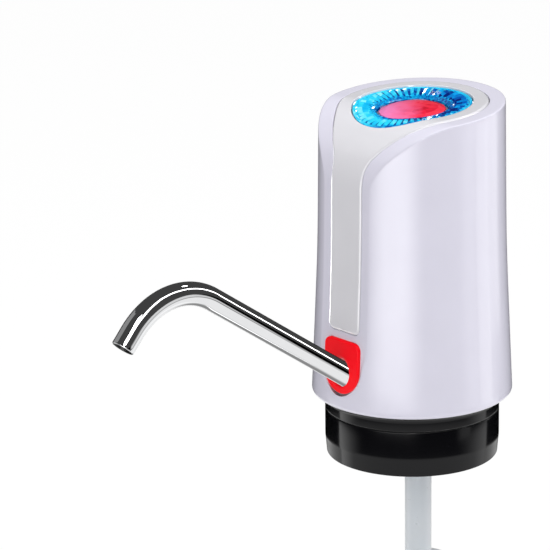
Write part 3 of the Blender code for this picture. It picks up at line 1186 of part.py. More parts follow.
def make_power(mats):
    at = Matrix.Translation((BATTERY_X, INNER_Y, 0))
    pole = BATTERY_Z + BATTERY_LENGTH
    turned("battery_cell", [
        (0, BATTERY_Z), (BATTERY_RADIUS - BEND, BATTERY_Z), (BATTERY_RADIUS, BATTERY_Z + BEND),
        (BATTERY_RADIUS, pole - BEND), (BATTERY_RADIUS - BEND, pole), (BATTERY_POLE, pole),
        (BATTERY_POLE, pole + BATTERY_POLE_RISE), (0, pole + BATTERY_POLE_RISE),
    ], mats["cell"], MEDIUM, at)
    half = TAB_WIDTH / 2
    for name, z in (("battery_tab_bottom", BATTERY_Z - GAP - TAB), ("battery_tab_top", BATTERY_TOP + GAP)):
        block(name, (BATTERY_X - half, INNER_Y - half, z), (BATTERY_X + half, INNER_Y + half, z + TAB),
              mats["steel"])
    at = Matrix.Translation((MOTOR_X, INNER_Y, 0))
    inner = MOTOR_RADIUS - MOTOR_WALL
    bearing = SHAFT_RADIUS + RUN_GAP
    top = MOTOR_Z + MOTOR_LENGTH
    turned("motor_can", [
        (bearing, MOTOR_Z - MOTOR_BOSS_RISE), (MOTOR_BOSS, MOTOR_Z - MOTOR_BOSS_RISE), (MOTOR_BOSS, MOTOR_Z),
        (MOTOR_RADIUS - BEND, MOTOR_Z), (MOTOR_RADIUS, MOTOR_Z + BEND), (MOTOR_RADIUS, top), (inner, top),
        (inner, MOTOR_Z + MOTOR_WALL), (bearing, MOTOR_Z + MOTOR_WALL),
    ], mats["steel"], MEDIUM, at)
    cap = turned("motor_end_cap", [
        (0, CAP_Z), (MOTOR_RADIUS, CAP_Z), (MOTOR_RADIUS, CAP_Z + END_CAP / 2),
        (MOTOR_BOSS * 2, CAP_Z + END_CAP),
        (0, CAP_Z + END_CAP),
    ], mats["black"], MEDIUM, at)
    arm_z = (MOTOR_Z + MOTOR_WALL + top) / 2 - ARMATURE_LENGTH / 2
    cam_z = CASE_Z + PUMP_WALL
    turned("motor_rotor", [
        (0, cam_z), (SHAFT_RADIUS, cam_z), (SHAFT_RADIUS, arm_z), (ARMATURE_RADIUS, arm_z),
        (ARMATURE_RADIUS, arm_z + ARMATURE_LENGTH), (SHAFT_RADIUS, arm_z + ARMATURE_LENGTH),
        (SHAFT_RADIUS, top), (0, top),
    ], mats["steel"], MEDIUM, at)
    rotor = bpy.data.objects["motor_rotor"]
    cam = rod("cam", (MOTOR_X + CAM_OFFSET, INNER_Y, cam_z + GAP),
              (MOTOR_X + CAM_OFFSET, INNER_Y, cam_z + CAM_HEIGHT), CAM_RADIUS, steps=MEDIUM)
    boolean(rotor, cam, "UNION")
    case_top = CASE_Z + PUMP_CASE
    hub = MOTOR_BOSS + GAP
    turned("pump_case", [
        (hub, case_top - PUMP_WALL), (PUMP_RADIUS - PUMP_WALL, case_top - PUMP_WALL),
        (PUMP_RADIUS - PUMP_WALL, CASE_Z), (PUMP_RADIUS, CASE_Z), (PUMP_RADIUS, case_top), (hub, case_top),
    ], mats["inner"], MEDIUM, at)
    turned("pump_diaphragm", [
        (0, DIAPHRAGM_Z), (PUMP_RADIUS, DIAPHRAGM_Z), (PUMP_RADIUS, DIAPHRAGM_Z + DIAPHRAGM),
        (0, DIAPHRAGM_Z + DIAPHRAGM),
    ], mats["rubber"], MEDIUM, at)
    head = turned("pump_head", [
        (0, PUMP_Z), (PUMP_RADIUS - PUMP_WALL, PUMP_Z), (PUMP_RADIUS, PUMP_Z + PUMP_WALL),
        (PUMP_RADIUS, PUMP_Z + PUMP_HEAD), (0, PUMP_Z + PUMP_HEAD),
    ], mats["inner"], MEDIUM, at)
    for name, (x, y) in pump_ports().items():
        low = PUMP_Z - NIPPLE_LENGTH
        boolean(head, rod(name + "_nipple", (x, y, low), (x, y, PUMP_Z + PUMP_WALL), NIPPLE_RADIUS), "UNION")
        boolean(head, rod(name + "_bore", (x, y, low - OVERRUN), (x, y, PUMP_Z + PUMP_HEAD / 2), NIPPLE_BORE))
    for k, (sign, key) in enumerate(((-1, "lead_red"), (1, "lead_black"))):
        x = MOTOR_X + sign * MOTOR_BOSS
        low = CAP_Z + END_CAP - BEND
        lug = block(f"terminal_{k}", (x - TAB / 2, INNER_Y - TERMINAL_WIDTH / 2, low),
                    (x + TAB / 2, INNER_Y + TERMINAL_WIDTH / 2, low + BEND + TERMINAL_RISE))
        boolean(cap, lug, "UNION")
    return cap


def pump_ports():
    """Plan positions of the pump's two nipples."""
    return {"inlet": (MOTOR_X + PUMP_RADIUS * 0.45, INNER_Y + PUMP_RADIUS * 0.25),
            "outlet": (MOTOR_X + PUMP_RADIUS * 0.2, INNER_Y - PUMP_RADIUS * 0.5)}


def board_under(x, y):
    """Height of the control board's underside over a plan position."""
    w = BOARD_W - BOARD - GAP
    # the board's plane, tilted about X through the head's axis point
    return AXIS_Z + (w + y * math.sin(TOP_TILT)) / math.cos(TOP_TILT)


def make_plumbing(mats, tip):
    """Two soft tubes, each straight over the nipples at its ends."""
    ports = pump_ports()
    lead = NIPPLE_RADIUS
    top, mouth = PUMP_Z - GAP, PUMP_Z - NIPPLE_LENGTH - lead / 2
    tip = tip + SPOUT_UP * lead / 2
    x, y = ports["inlet"]
    stub = FLOOR_TOP + STUB_LENGTH + lead / 2
    middle = Vector((x * LEAN_SHARE, (y + HOSE_OFFSET) / 2, (stub + mouth) / 2))
    anchors = [(0, HOSE_OFFSET, FLOOR_TOP + GAP), (0, HOSE_OFFSET, stub), (0, HOSE_OFFSET, stub + lead),
               middle, (x, y, mouth - lead), (x, y, mouth), (x, y, top)]
    hollow_tube("inlet_tube", smooth_points(anchors, lead), TUBE_RADIUS, TUBE_BORE,
                mats["silicone"], SMALL)
    x, y = ports["outlet"]
    start = ELBOW + SPOUT_UP * (NIPPLE_RADIUS + GAP)
    beyond = tip + SPOUT_UP * lead
    middle = Vector((x * SWEEP_SHARE, beyond.y * SWEEP_SHARE + y * (1 - SWEEP_SHARE),
                     (beyond.z + mouth - lead) / 2))
    anchors = [start, tip, beyond, middle, (x, y, mouth - lead), (x, y, mouth), (x, y, top)]
    hollow_tube("outlet_tube", smooth_points(anchors, lead), TUBE_RADIUS, TUBE_BORE,
                mats["silicone"], SMALL)


def make_leads(mats):
    """Wires from the motor and the battery up to the control board's underside."""
    bow = 2 * LEAD_RADIUS
    cap_top = CAP_Z + END_CAP + TERMINAL_RISE + GAP
    cell_top = BATTERY_TOP + TAB + 2 * GAP
    for name, x, low, key in (("motor_lead_red", MOTOR_X - MOTOR_BOSS, cap_top, "lead_red"),
                              ("motor_lead_black", MOTOR_X + MOTOR_BOSS, cap_top, "lead_black"),
                              ("battery_lead_red", BATTERY_X, cell_top, "lead_red")):
        high = board_under(x, INNER_Y)
        line = [Vector((x, INNER_Y, low + (high - low) * k / 3)) for k in range(4)]
        curve_tube(name, line, LEAD_RADIUS, mats[key], 1)
    out = INNER_Y + BATTERY_RADIUS + BACKBONE_CLEAR / 2 + CLIP_WALL + 2 * LEAD_RADIUS
    under = CUP_Z - 2 * LEAD_RADIUS
    anchors = [(BATTERY_X, INNER_Y, BATTERY_Z - TAB - 2 * GAP), (BATTERY_X, INNER_Y, CUP_Z + CUP_FLOOR / 2),
               (BATTERY_X, INNER_Y + BATTERY_RADIUS / 3, under), (BATTERY_X, out - BATTERY_RADIUS / 3, under),
               (BATTERY_X, out, CUP_Z + CUP_FLOOR), (BATTERY_X, out, BATTERY_Z + BATTERY_LENGTH / 2),
               (BATTERY_X, out, BATTERY_TOP), (BATTERY_X, out, board_under(BATTERY_X, out))]
    curve_tube("battery_lead_black", smooth_points(anchors, 2 * bow), LEAD_RADIUS, mats["lead_black"], 0)


# Hose: a free stretch, then the rest of its length put away in a tied hank

HANK_HALF = 28.5 * MM
HANK_TOP = -76.0 * MM
HANK_RUN = 100.0 * MM
HANK_WAIST = 12.5 * MM
HANK_STEP = 10.6 * MM
HOSE_END_Z = -36.0 * MM
LOOP_POINTS = 24
TIE_WALL = 1.6 * MM
TIE_HEIGHT = 14.0 * MM


def drawn_half(z):
    """Half the hank's width at a height: full at its ends and drawn in at the waist."""
    waist_z = HANK_TOP - HANK_RUN / 2
    return HANK_HALF - HANK_WAIST * (1 + math.cos(math.tau * (z - waist_z) / HANK_RUN)) / 2


def hank_points():
    """The folded length: down the left, round, up the right, over the top and down again.

    Each run is drawn in at the waist by a raised cosine. The layers climb along Y: one
    step over the first run and the up run together, so that the last run lies behind.
    """
    low_z = HANK_TOP - HANK_RUN
    per_bend = LOOP_POINTS // 3
    per_run = LOOP_POINTS // 3
    lead = HOSE_END_Z
    entry_z = HANK_TOP - HANK_RUN * 0.22
    entry_x = -drawn_half(entry_z)
    points = [(0.0, lead), (0.0, lead - 2 * HOSE_RADIUS)]
    steps = 8
    first = lead - 2 * HOSE_RADIUS
    for k in range(1, steps + 1):
        t = k / steps
        ease = t * t * (3 - 2 * t)
        points.append((entry_x * ease, first + (entry_z - first) * t))
    for k in range(1, per_run + 1):
        z = entry_z + (low_z - entry_z) * k / per_run
        points.append((-drawn_half(z), z))
    for k in range(1, per_bend + 1):
        a = math.pi * k / per_bend
        points.append((-HANK_HALF * math.cos(a), low_z - HANK_HALF * math.sin(a)))
    for k in range(1, per_run + 2):
        z = low_z + HANK_RUN * k / (per_run + 1)
        points.append((drawn_half(z), z))
    for k in range(1, per_bend + 1):
        a = math.pi * k / per_bend
        points.append((HANK_HALF * math.cos(a), HANK_TOP + HANK_HALF * math.sin(a)))
    for k in range(1, per_run + 2):
        z = HANK_TOP - HANK_RUN * k / (per_run + 1)
        points.append((-drawn_half(z), z))
    points.append((-HANK_HALF, low_z - 2 * HOSE_RADIUS))
    total = 0.0
    walked = [0.0]
    for a, b in zip(points, points[1:]):
        total += math.dist(a, b)
        walked.append(total)
    begin = walked[2 + steps + per_run]
    finish = walked[2 + steps + per_run + per_bend + per_run + 1 + per_bend // 3]
    out = []
    for (x, z), w in zip(points, walked):
        t = min(max((w - begin) / (finish - begin), 0.0), 1.0)
        out.append(Vector((x, HOSE_OFFSET + HANK_STEP * t * t * (3 - 2 * t), z)))
    return out


def least_gap(points, radius):
    """Least gap of a tube to itself, between stretches more than four diameters apart."""
    fine = []
    for a, b in zip(points, points[1:]):
        steps = 4
        fine += [a.lerp(b, k / steps) for k in range(steps)]
    fine.append(points[-1])
    walked = [0.0]
    for a, b in zip(fine, fine[1:]):
        walked.append(walked[-1] + (b - a).length)
    best = 1.0
    for i, p in enumerate(fine):
        for j in range(i + 1, len(fine)):
            if walked[j] - walked[i] > 8 * radius:
                best = min(best, (fine[j] - p).length)
    return best - 2 * radius


def make_hose(mats, tip):
    y = HOSE_OFFSET
    top = FLOOR_TOP - FLOOR - GAP
    bore = BARB_RADIUS + GAP
    on_barb_end = tip - GAP
    turned("hose_on_barb", [(bore, on_barb_end), (HOSE_RADIUS, on_barb_end), (HOSE_RADIUS, top), (bore, top)],
           mats["silicone"], SMALL, Matrix.Translation((0, y, 0)))
    start = on_barb_end - GAP
    steps = 4
    free = [(0, y, start + (HOSE_END_Z + GAP - start) * k / steps) for k in range(steps + 1)]
    curve_tube("suction_hose", free, HOSE_RADIUS, mats["silicone"], 2)
    points = hank_points()
    curve_tube("hose_hank", points, HOSE_RADIUS, mats["silicone"], 1)
    print("hank least gap to itself, mm:", round(least_gap(points, HOSE_RADIUS) / MM, 2))
    length = sum((b - a).length for a, b in zip(points, points[1:]))
    print("hose length, mm:", round((length + top - HOSE_END_Z) / MM, 1))
    waist = HANK_TOP - HANK_RUN / 2
    half_x = drawn_half(waist + TIE_HEIGHT / 2) + HOSE_RADIUS + 2 * GAP
    back = HOSE_OFFSET + HANK_STEP + HOSE_RADIUS + GAP
    front = HOSE_OFFSET - HOSE_RADIUS - GAP

    def band(grow):
        cx, cy = half_x + grow, (back - front) / 2 + grow
        corner = HOSE_RADIUS + grow
        middle = (back + front) / 2
        out = []
        for k in range(24):
            a = math.tau * k / 24
            out.append((math.copysign(cx - corner, math.cos(a)) + corner * math.cos(a),
                        middle + math.copysign(cy - corner, math.sin(a)) + corner * math.sin(a)))
        return out

    tie = prism("hank_tie", band(TIE_WALL), waist - TIE_HEIGHT / 2, waist + TIE_HEIGHT / 2, mats["rubber"])
    boolean(tie, prism("tie_bore", band(0.0), waist - TIE_HEIGHT, waist + TIE_HEIGHT))


def main():
    clear_scene()
    mats = make_materials()
    make_housing(mats)
    make_head(mats)
    nipple_tip = make_outlet(mats)
    barb_tip = make_base(mats)
    make_chassis(mats)
    make_power(mats)
    make_plumbing(mats, nipple_tip)
    make_leads(mats)
    make_hose(mats, barb_tip)


main()
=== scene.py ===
"""Looks of the water pump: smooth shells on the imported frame, finishes, light and camera.

Lengths are in millimetres until a mesh is made. Z is up and the spout points towards -Y.
Places on the hood are (x, s, off): x across, s along the sheet that cuts the housing, from
the start of its crown arc towards the foot, and off along that sheet's outward normal.
"""
import json
import math

import bmesh
import bpy
import numpy as np
from mathutils import Matrix

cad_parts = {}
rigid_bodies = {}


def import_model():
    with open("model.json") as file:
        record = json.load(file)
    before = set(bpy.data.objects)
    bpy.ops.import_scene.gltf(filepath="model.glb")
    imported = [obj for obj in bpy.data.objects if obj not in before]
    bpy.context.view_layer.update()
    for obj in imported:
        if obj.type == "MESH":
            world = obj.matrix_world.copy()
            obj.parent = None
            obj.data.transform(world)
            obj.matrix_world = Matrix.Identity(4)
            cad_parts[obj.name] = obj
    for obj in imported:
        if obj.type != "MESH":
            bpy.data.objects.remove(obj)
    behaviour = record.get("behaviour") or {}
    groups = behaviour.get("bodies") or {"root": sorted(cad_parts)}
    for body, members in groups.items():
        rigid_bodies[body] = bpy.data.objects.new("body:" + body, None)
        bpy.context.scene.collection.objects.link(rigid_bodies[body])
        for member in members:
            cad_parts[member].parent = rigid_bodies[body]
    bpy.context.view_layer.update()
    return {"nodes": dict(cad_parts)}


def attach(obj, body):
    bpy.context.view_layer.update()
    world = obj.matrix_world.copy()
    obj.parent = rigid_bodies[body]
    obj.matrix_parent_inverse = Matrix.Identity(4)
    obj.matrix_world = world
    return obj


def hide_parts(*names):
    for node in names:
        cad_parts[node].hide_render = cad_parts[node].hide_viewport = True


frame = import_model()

MM = 0.001
TURN = 2 * math.pi
QUARTER = math.pi / 2
WELD = 0.002

# Housing
FOOT_Z, HEIGHT, REAR_Z = 22.4, 105.4, 127.8
FOOT_R, WAIST_R, RIM_R = 35.3, 32.85, 32.2
WAIST_RISE, WAIST_SOFT = 53.5, 5.0
TILT = math.radians(4)
CROWN_R, FACE_INSET, RIM_ROUND, FOOT_ROUND, WALL = 24.0, 2.0, 1.3, 1.5, 2.0
SEAT, INNER_OFF, POCKET, FOOT_LIFT, FOOT_BORDER = 1.9, 3.7, 1.3, 1.4, 0.8
SEAM, EDGE_ROUND, FLARE_RISE, FOOT_TUCK = 0.13, 0.2, 10.0, 0.4
FOOT_CORNER, FRONT_ANGLE, REAR_REACH = 14.0, math.radians(60), 36.0
RING_HOLE_R, HOLE_LOW, HOLE_HIGH, SOCKET_R, SOCKET_OVER = 17.9, -7.0, 3.0, 7.6, 3.0
PORT_Z, PORT_HALF, PORT_UP, PORT_CUT, PORT_ROUND, PORT_ENDS = 96.4, 4.45, 2.1, 1.2, 0.5, (27.0, 38.0)
# Hood panel, light ring and jewel
PANEL_R, PANEL_PROUD, PANEL_DEPTH, PANEL_EDGE, PANEL_LAP = 26.6, 0.4, 1.6, 0.95, 0.12
TONGUE_HALF, TONGUE_FILLET, TONGUE_CORNER, SHOULDER = 7.7, 14.0, 2.5, math.radians(35)
RING_R, RING_GAP, RING_BORE, RING_FLANGE, RING_DEPTH = 20.8, 0.3, 12.4, 17.6, 3.0
JEWEL_R, JEWEL_GIRDLE, JEWEL_RISE = 11.6, -2.2, 1.3
# Outlet and spout
OUTLET_Z, SPOUT_DROP, SPOUT_TILT = 36.7, 0.7, math.radians(33.9)
PLATE_HALF, PLATE_TOP, PLATE_CORNER, PLATE_PROUD, PLATE_BACK = 8.5, 10.5, 2.5, 1.15, 1.0
PLATE_EDGE, PLATE_LAP, TONGUE_GAP = 0.4, 0.1, 2.9
SPOUT_R, SPOUT_BORE, SPOUT_RUN, SPOUT_BEND, SPOUT_TURN = 4.0, 3.5, 68.6, 26.0, math.radians(82.5)
SPOUT_END, SPOUT_DEPTH, RUN_GAP = 6.1, 11.0, 0.35
# Collar and base
COLLAR_R, COLLAR_TOP, COLLAR_MOUTH, COLLAR_INNER = 30.7, 16.3, 30.15, 29.2
LEDGE_R, LEDGE_Z, BAND_Z, BAND_TOP, FLARE_TOP, FLARE_R = 22.5, 12.8, 16.6, 19.6, 22.1, 33.6
SPIGOT_TOP, SPIGOT_WALL, FLOOR, CLEAR = FOOT_Z + 4.5, 2.0, 2.4, 0.3
SCREW_CIRCLE, SCREW_HOLE, SCREW_HEAD, BOSS_R = 26.2, 1.5, 2.6, 3.5
SPIGOT_FRONT, BARB_Z, BARB_PITCH, BARB_CORE, BARB_R = -29.2, 4.5, 4.33, 2.5, 2.9
PIPE_BORE, PIPE_TOP, STUB_R, STUB_Z, STUB_TOP = 1.6, 20.2, 2.3, 22.2, 28.9
GASKET_TOP, GASKET_WALL, LIP, LIP_HIGH = 10.2, 1.0, 0.8, 0.9
# Hose
HOSE_Y, HOSE_R, HOSE_BORE, HOSE_TOP, HOSE_SHOWN, HOSE_LENGTH = 3.0, 4.75, 3.25, 19.7, -36.0, 0.60
SWELL, SWELL_Z, SWELL_LOW, HOSE_EDGE = 0.12, 7.5, 4.2, 0.2
HANK_HALF, HANK_TOP, HANK_RUN, HANK_WAIST, HANK_STEP = 28.5, -76.0, 100.0, 12.5, 10.6
TIE_HALF, TIE_WALL, TIE_GAP = 7.0, 1.6, 0.3


# The housing's own curves

def body_radius(z):
    """Two straight tapers joined by a soft corner: a line plus a log(1 + exp) step."""
    rise = z - FOOT_Z
    upper = (WAIST_R - RIM_R) / (HEIGHT - WAIST_RISE)
    lower = (FOOT_R - WAIST_R) / WAIST_RISE
    corner = WAIST_SOFT * np.log1p(np.exp((WAIST_RISE - rise) / WAIST_SOFT))
    return RIM_R + upper * (HEIGHT - rise) + (lower - upper) * corner


def crown_centre():
    """Centre of the crown arc, which touches both the front line and the sloped top."""
    z = REAR_Z - CROWN_R
    for _ in range(8):
        y = FACE_INSET + CROWN_R - body_radius(z)
        z = REAR_Z - (RIM_R - y) * math.tan(TILT) - CROWN_R / math.cos(TILT)
    return y, z


CROWN_Y, CROWN_Z = crown_centre()
CROWN_LEN = CROWN_R * (QUARTER - TILT)
START_Y = CROWN_Y - CROWN_R * math.sin(TILT)
START_Z = CROWN_Z + CROWN_R * math.cos(TILT)
AXIS_S = START_Y / math.cos(TILT)
AXIS_Z = START_Z - AXIS_S * math.sin(TILT)


def on_sheet(x, s, off=0.0):
    """Sheet point: a sloped line for s < 0, an arc of CROWN_R, then the front line down."""
    x, s, off = np.broadcast_arrays(*(np.asarray(v, float) for v in (x, s, off)))
    turn = TILT + np.clip(s, 0, CROWN_LEN) / CROWN_R
    reach = CROWN_R + off
    down = CROWN_Z - (s - CROWN_LEN)
    rear, crown = s < 0, s < CROWN_LEN
    y = np.where(rear, START_Y - s * math.cos(TILT) - off * math.sin(TILT),
                 np.where(crown, CROWN_Y - reach * np.sin(turn), FACE_INSET - body_radius(down) - off))
    z = np.where(rear, START_Z - s * math.sin(TILT) + off * math.cos(TILT),
                 np.where(crown, CROWN_Z + reach * np.cos(turn), down))
    return np.stack([x, y, z], -1)


def lifted(points, off):
    """Sheet points from (x, s) points."""
    return on_sheet(points[..., 0], points[..., 1], off)


def on_head(radius, angle, off):
    """Sheet point at a radius and an angle, from the rear, about the head's axis."""
    return on_sheet(radius * np.sin(angle), AXIS_S - radius * np.cos(angle), off)


def sheet_axes(s):
    """The sheet's outward normal and its forward direction at s."""
    turn = TILT + np.clip(s, 0, CROWN_LEN) / CROWN_R
    zero = np.zeros_like(turn)
    return (np.stack([zero, -np.sin(turn), np.cos(turn)], -1),
            np.stack([zero, -np.cos(turn), -np.sin(turn)], -1))


def s_at(z):
    return CROWN_LEN + CROWN_Z - z


def chord_half(s, thinner=0.0, off=0.0):
    """Half the sheet's width inside the round side, for a side that is thinner by a wall."""
    p = on_sheet(0.0, s, off)
    return np.sqrt(np.maximum((body_radius(p[..., 2]) - thinner) ** 2 - p[..., 1] ** 2, 0.0))


def polar(radius, angle, z):
    """Points at a radius, an angle from the front about the vertical axis, and a height."""
    return np.stack(np.broadcast_arrays(radius * np.sin(angle), -radius * np.cos(angle), z), -1)


def angle_of(line):
    return np.arctan2(line[:, 0], -line[:, 1])


def unit(v):
    return v / np.maximum(np.linalg.norm(v, axis=-1, keepdims=True), 1e-12)


def eased(t):
    """A smooth step from 0 to 1."""
    return t * t * (3 - 2 * t)


def steps(a, b, count):
    """count points from just after a up to b."""
    return np.linspace(a, b, count + 1)[1:]


def straight(start, end, count):
    """count points from just after start along a straight line up to end."""
    return np.asarray(start, float) + np.subtract(end, start) * steps(0, 1, count)[:, None]


def between(a, b, count):
    """count lines from line a to line b."""
    t = np.linspace(0, 1, count)[:, None, None]
    return a * (1 - t) + b * t


def bow(x, s, radius, a):
    """Points round (x, s), at angles from its right side towards the foot."""
    return np.stack([x + radius * np.cos(a), s + radius * np.sin(a)], -1)


def outline(*parts):
    """The parts as one line, and the index of each part's last point."""
    return np.concatenate(parts), np.cumsum([len(part) for part in parts]) - 1


def panel_half(grow=0.0):
    """Right half of the panel's outline, rear to foot: an arc about the head's axis, a
    shoulder, a hollow fillet, and the tongue's edge, corner and bottom edge."""
    radius, half, fillet = PANEL_R + grow, TONGUE_HALF + grow, TONGUE_FILLET - grow
    arc = bow(0.0, AXIS_S, radius, np.linspace(-QUARTER, SHOULDER, 64))
    cx = half + fillet
    cs = arc[-1, 1] + (arc[-1, 0] - cx) / math.tan(SHOULDER) + fillet / math.sin(SHOULDER)
    end = s_at(OUTLET_Z + PLATE_TOP + TONGUE_GAP) + grow
    corner = TONGUE_CORNER + grow
    return outline(arc, straight(arc[-1], bow(cx, cs, -fillet, SHOULDER), 14),
                   bow(cx, cs, -fillet, SHOULDER * (1 - steps(0, 1, 18))),
                   straight((half, cs), (half, end - corner), 30),
                   bow(half - corner, end - corner, corner, steps(0, QUARTER, 10)),
                   straight((half - corner, end), (0.0, end), 12))


def plate_half(grow=0.0):
    """Right half of the outlet plate's outline: flat top, corner, side and a half-round foot."""
    half, corner, centre = PLATE_HALF + grow, PLATE_CORNER + grow, s_at(OUTLET_Z)
    top = centre - PLATE_TOP - grow
    x = np.linspace(0, half - corner, 13)
    foot = bow(0.0, centre, half, steps(0, QUARTER, 28))
    foot[-1, 0] = 0.0
    return outline(np.stack([x, np.full_like(x, top)], -1),
                   bow(half - corner, top + corner, corner, steps(-QUARTER, 0, 10)),
                   straight((half, top + corner), (half, centre), 12), foot)


def along(line):
    """Distance walked along a line of points, from 0 to 1."""
    walked = np.concatenate([[0], np.cumsum(np.linalg.norm(np.diff(line, axis=0), axis=1))])
    return walked / walked[-1]


# Meshes from grids

class Shell:
    """Gathers grids of points and welds them into one piece."""

    def __init__(self):
        self.points, self.faces, self.count = [], [], 0

    def grid(self, rows, wrap=False, mirror=False):
        """Quads between rows of points; wrap joins the last column to the first."""
        rows = np.asarray(rows, float)
        m, n = rows.shape[:2]
        i = np.arange(m * n).reshape(m, n)
        if wrap:
            i = np.hstack([i, i[:, :1]])
        quads = np.stack([i[:-1, :-1], i[:-1, 1:], i[1:, 1:], i[1:, :-1]], -1).reshape(-1, 4)
        self.put(rows.reshape(-1, 3), quads)
        if mirror:
            self.put(rows.reshape(-1, 3) * (-1, 1, 1), quads[:, ::-1])
        return self

    def put(self, points, faces):
        self.points.append(points)
        self.faces += (np.asarray(faces) + self.count).tolist()
        self.count += len(points)

    def mesh(self, name):
        mesh = bpy.data.meshes.new(name)
        mesh.from_pydata(np.concatenate(self.points) * MM, [], self.faces)
        bm = bmesh.new()
        bm.from_mesh(mesh)
        bmesh.ops.remove_doubles(bm, verts=bm.verts, dist=WELD * MM)
        bmesh.ops.dissolve_degenerate(bm, dist=WELD * MM / 4, edges=bm.edges)
        bmesh.ops.recalc_face_normals(bm, faces=bm.faces)
        bm.to_mesh(mesh)
        bm.free()
        return mesh


def placed(name, data):
    """A new object in the scene."""
    obj = bpy.data.objects.new(name, data)
    bpy.context.scene.collection.objects.link(obj)
    return obj


def piece(name, shell, body, slot, nodes, crease=30.0):
    """A finished piece from a shell: shaded smooth but for its creases, riding on a body."""
    mesh = shell if isinstance(shell, bpy.types.Mesh) else shell.mesh(name)
    mesh.shade_smooth()
    mesh.set_sharp_from_angle(angle=math.radians(crease))
    mesh.materials.append(LOOKS[slot])
    obj = placed(name, mesh)
    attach(obj, body)
    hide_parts(*nodes)
    return obj


def cut(shell, tools, name):
    """The shell's mesh with each tool's solid taken out of it."""
    made = [placed(name, shell.mesh(name))]
    for tool in tools:
        made.append(placed(name + "_tool", tool.mesh(name + "_tool")))
        change = made[0].modifiers.new(made[-1].name, "BOOLEAN")
        change.object, change.operation, change.solver = made[-1], "DIFFERENCE", "EXACT"
    bpy.context.view_layer.update()
    shaped = made[0].evaluated_get(bpy.context.evaluated_depsgraph_get())
    result = bpy.data.meshes.new_from_object(shaped)
    result.materials.clear()
    for item in made:
        bpy.data.objects.remove(item, do_unlink=True)
    return result


def rounded(profile, radii, arc_steps=5):
    """A closed profile of (radius, height) corners, each turned into a curve between the two
    places a radius away from it."""
    points = np.asarray(profile, float)
    radii = np.broadcast_to(radii, len(points))
    out = []
    for before, here, after, r in zip(np.roll(points, 1, 0), points, np.roll(points, -1, 0), radii):
        if r == 0:
            out.append(here[None])
            continue
        a, b = unit(before - here) * r + here, unit(after - here) * r + here
        t = np.linspace(0, 1, arc_steps + 1)[:, None]
        out.append(a * (1 - t) ** 2 + here * 2 * t * (1 - t) + b * t * t)
    return np.concatenate(out)


def lathe(profile, sides=144, centre=(0.0, 0.0), shell=None):
    """A closed (radius, height) profile spun about a vertical axis."""
    r, z = np.concatenate([profile, profile[:1]]).T[:, :, None]
    rows = polar(r, np.arange(sides) * TURN / sides, z) + (*centre, 0.0)
    return (shell or Shell()).grid(rows, wrap=True)


def capped(*loops):
    """A closed piece from loops of points; both ends are drawn in to their middles."""
    first, last = (loop.mean(0) + 0 * loop for loop in (loops[0], loops[-1]))
    return Shell().grid([first, *loops, last], wrap=True)


def rod(start, end, radius, sides=48):
    """A closed round bar between two points."""
    start, end = np.asarray(start, float), np.asarray(end, float)
    axis = unit(end - start)
    side = unit(np.cross(axis, (0.31, 0.52, 0.8) if abs(axis[2]) > 0.9 else (0, 0, 1)))
    a = (np.arange(sides) * TURN / sides)[:, None]
    ring = radius * (np.cos(a) * side + np.sin(a) * np.cross(axis, side))
    return capped(start + ring, end + ring)


def sweep(path, rings):
    """Rings carried along a path without twist, square to it. Each ring is its index on the
    path, its radius and, if it has one, its push forwards."""
    path = np.asarray(path, float)
    heading = unit(np.gradient(path, axis=0))
    side = unit(np.cross(heading[0], (1.0, 0.0, 0.0) if abs(heading[0][0]) < 0.9 else (0, 1, 0)))
    sides = [side]
    for direction in heading[1:]:
        side = unit(side - direction * side.dot(direction))
        sides.append(side)
    side = np.array(sides)
    other = np.cross(heading, side)
    at, radius, push = np.array([(*ring, 0.0)[:3] for ring in rings]).T[:, :, None, None]
    at = at.astype(int).ravel()
    a = (np.arange(64) * TURN / 64)[None, :, None]
    rows = (path[at][:, None] + heading[at][:, None] * push
            + radius * (np.cos(a) * side[at][:, None] + np.sin(a) * other[at][:, None]))
    return Shell().grid(rows, wrap=True)


# Finishes

def operator(kind, turned=False):
    """An arithmetic method for Wire: a Math node of a kind, its two values turned or not."""
    def method(wire, other):
        return wire.nodes.maths(kind, *((other, wire) if turned else (wire, other)))
    return method


class Wire:
    """One output socket; arithmetic on it adds Math nodes to its tree."""
    __add__ = __radd__ = operator("ADD")
    __sub__ = operator("SUBTRACT")
    __rsub__ = operator("SUBTRACT", True)
    __mul__ = __rmul__ = operator("MULTIPLY")
    __truediv__ = operator("DIVIDE")
    __gt__ = operator("GREATER_THAN")
    __lt__ = operator("LESS_THAN")

    def __init__(self, nodes, socket):
        self.nodes, self.socket = nodes, socket

    def falling(self, start, end):
        """1 below start, 0 above end and smooth between; start may be the greater."""
        return self.nodes.add("MapRange", {"interpolation_type": "SMOOTHSTEP"},
                              {"Value": self, "From Min": start, "From Max": end, "To Min": 1.0,
                               "To Max": 0.0})


class Nodes:
    """A node tree, with a short way to add to it."""

    def __init__(self, tree):
        self.tree = tree

    def add(self, kind, settings=None, sockets=None, output=0):
        """A node of a kind: its settings first, then values or links on its sockets."""
        node = self.tree.nodes.new("ShaderNode" + kind)
        for key, value in (settings or {}).items():
            setattr(node, key, value)
        for key, value in (sockets or {}).items():
            self.feed(node.inputs[key], value)
        return Wire(self, node.outputs[output])

    def feed(self, socket, value):
        if isinstance(value, Wire):
            self.tree.links.new(value.socket, socket)
        else:
            socket.default_value = value

    def maths(self, kind, *values):
        return self.add("Math", {"operation": kind}, dict(enumerate(values)))


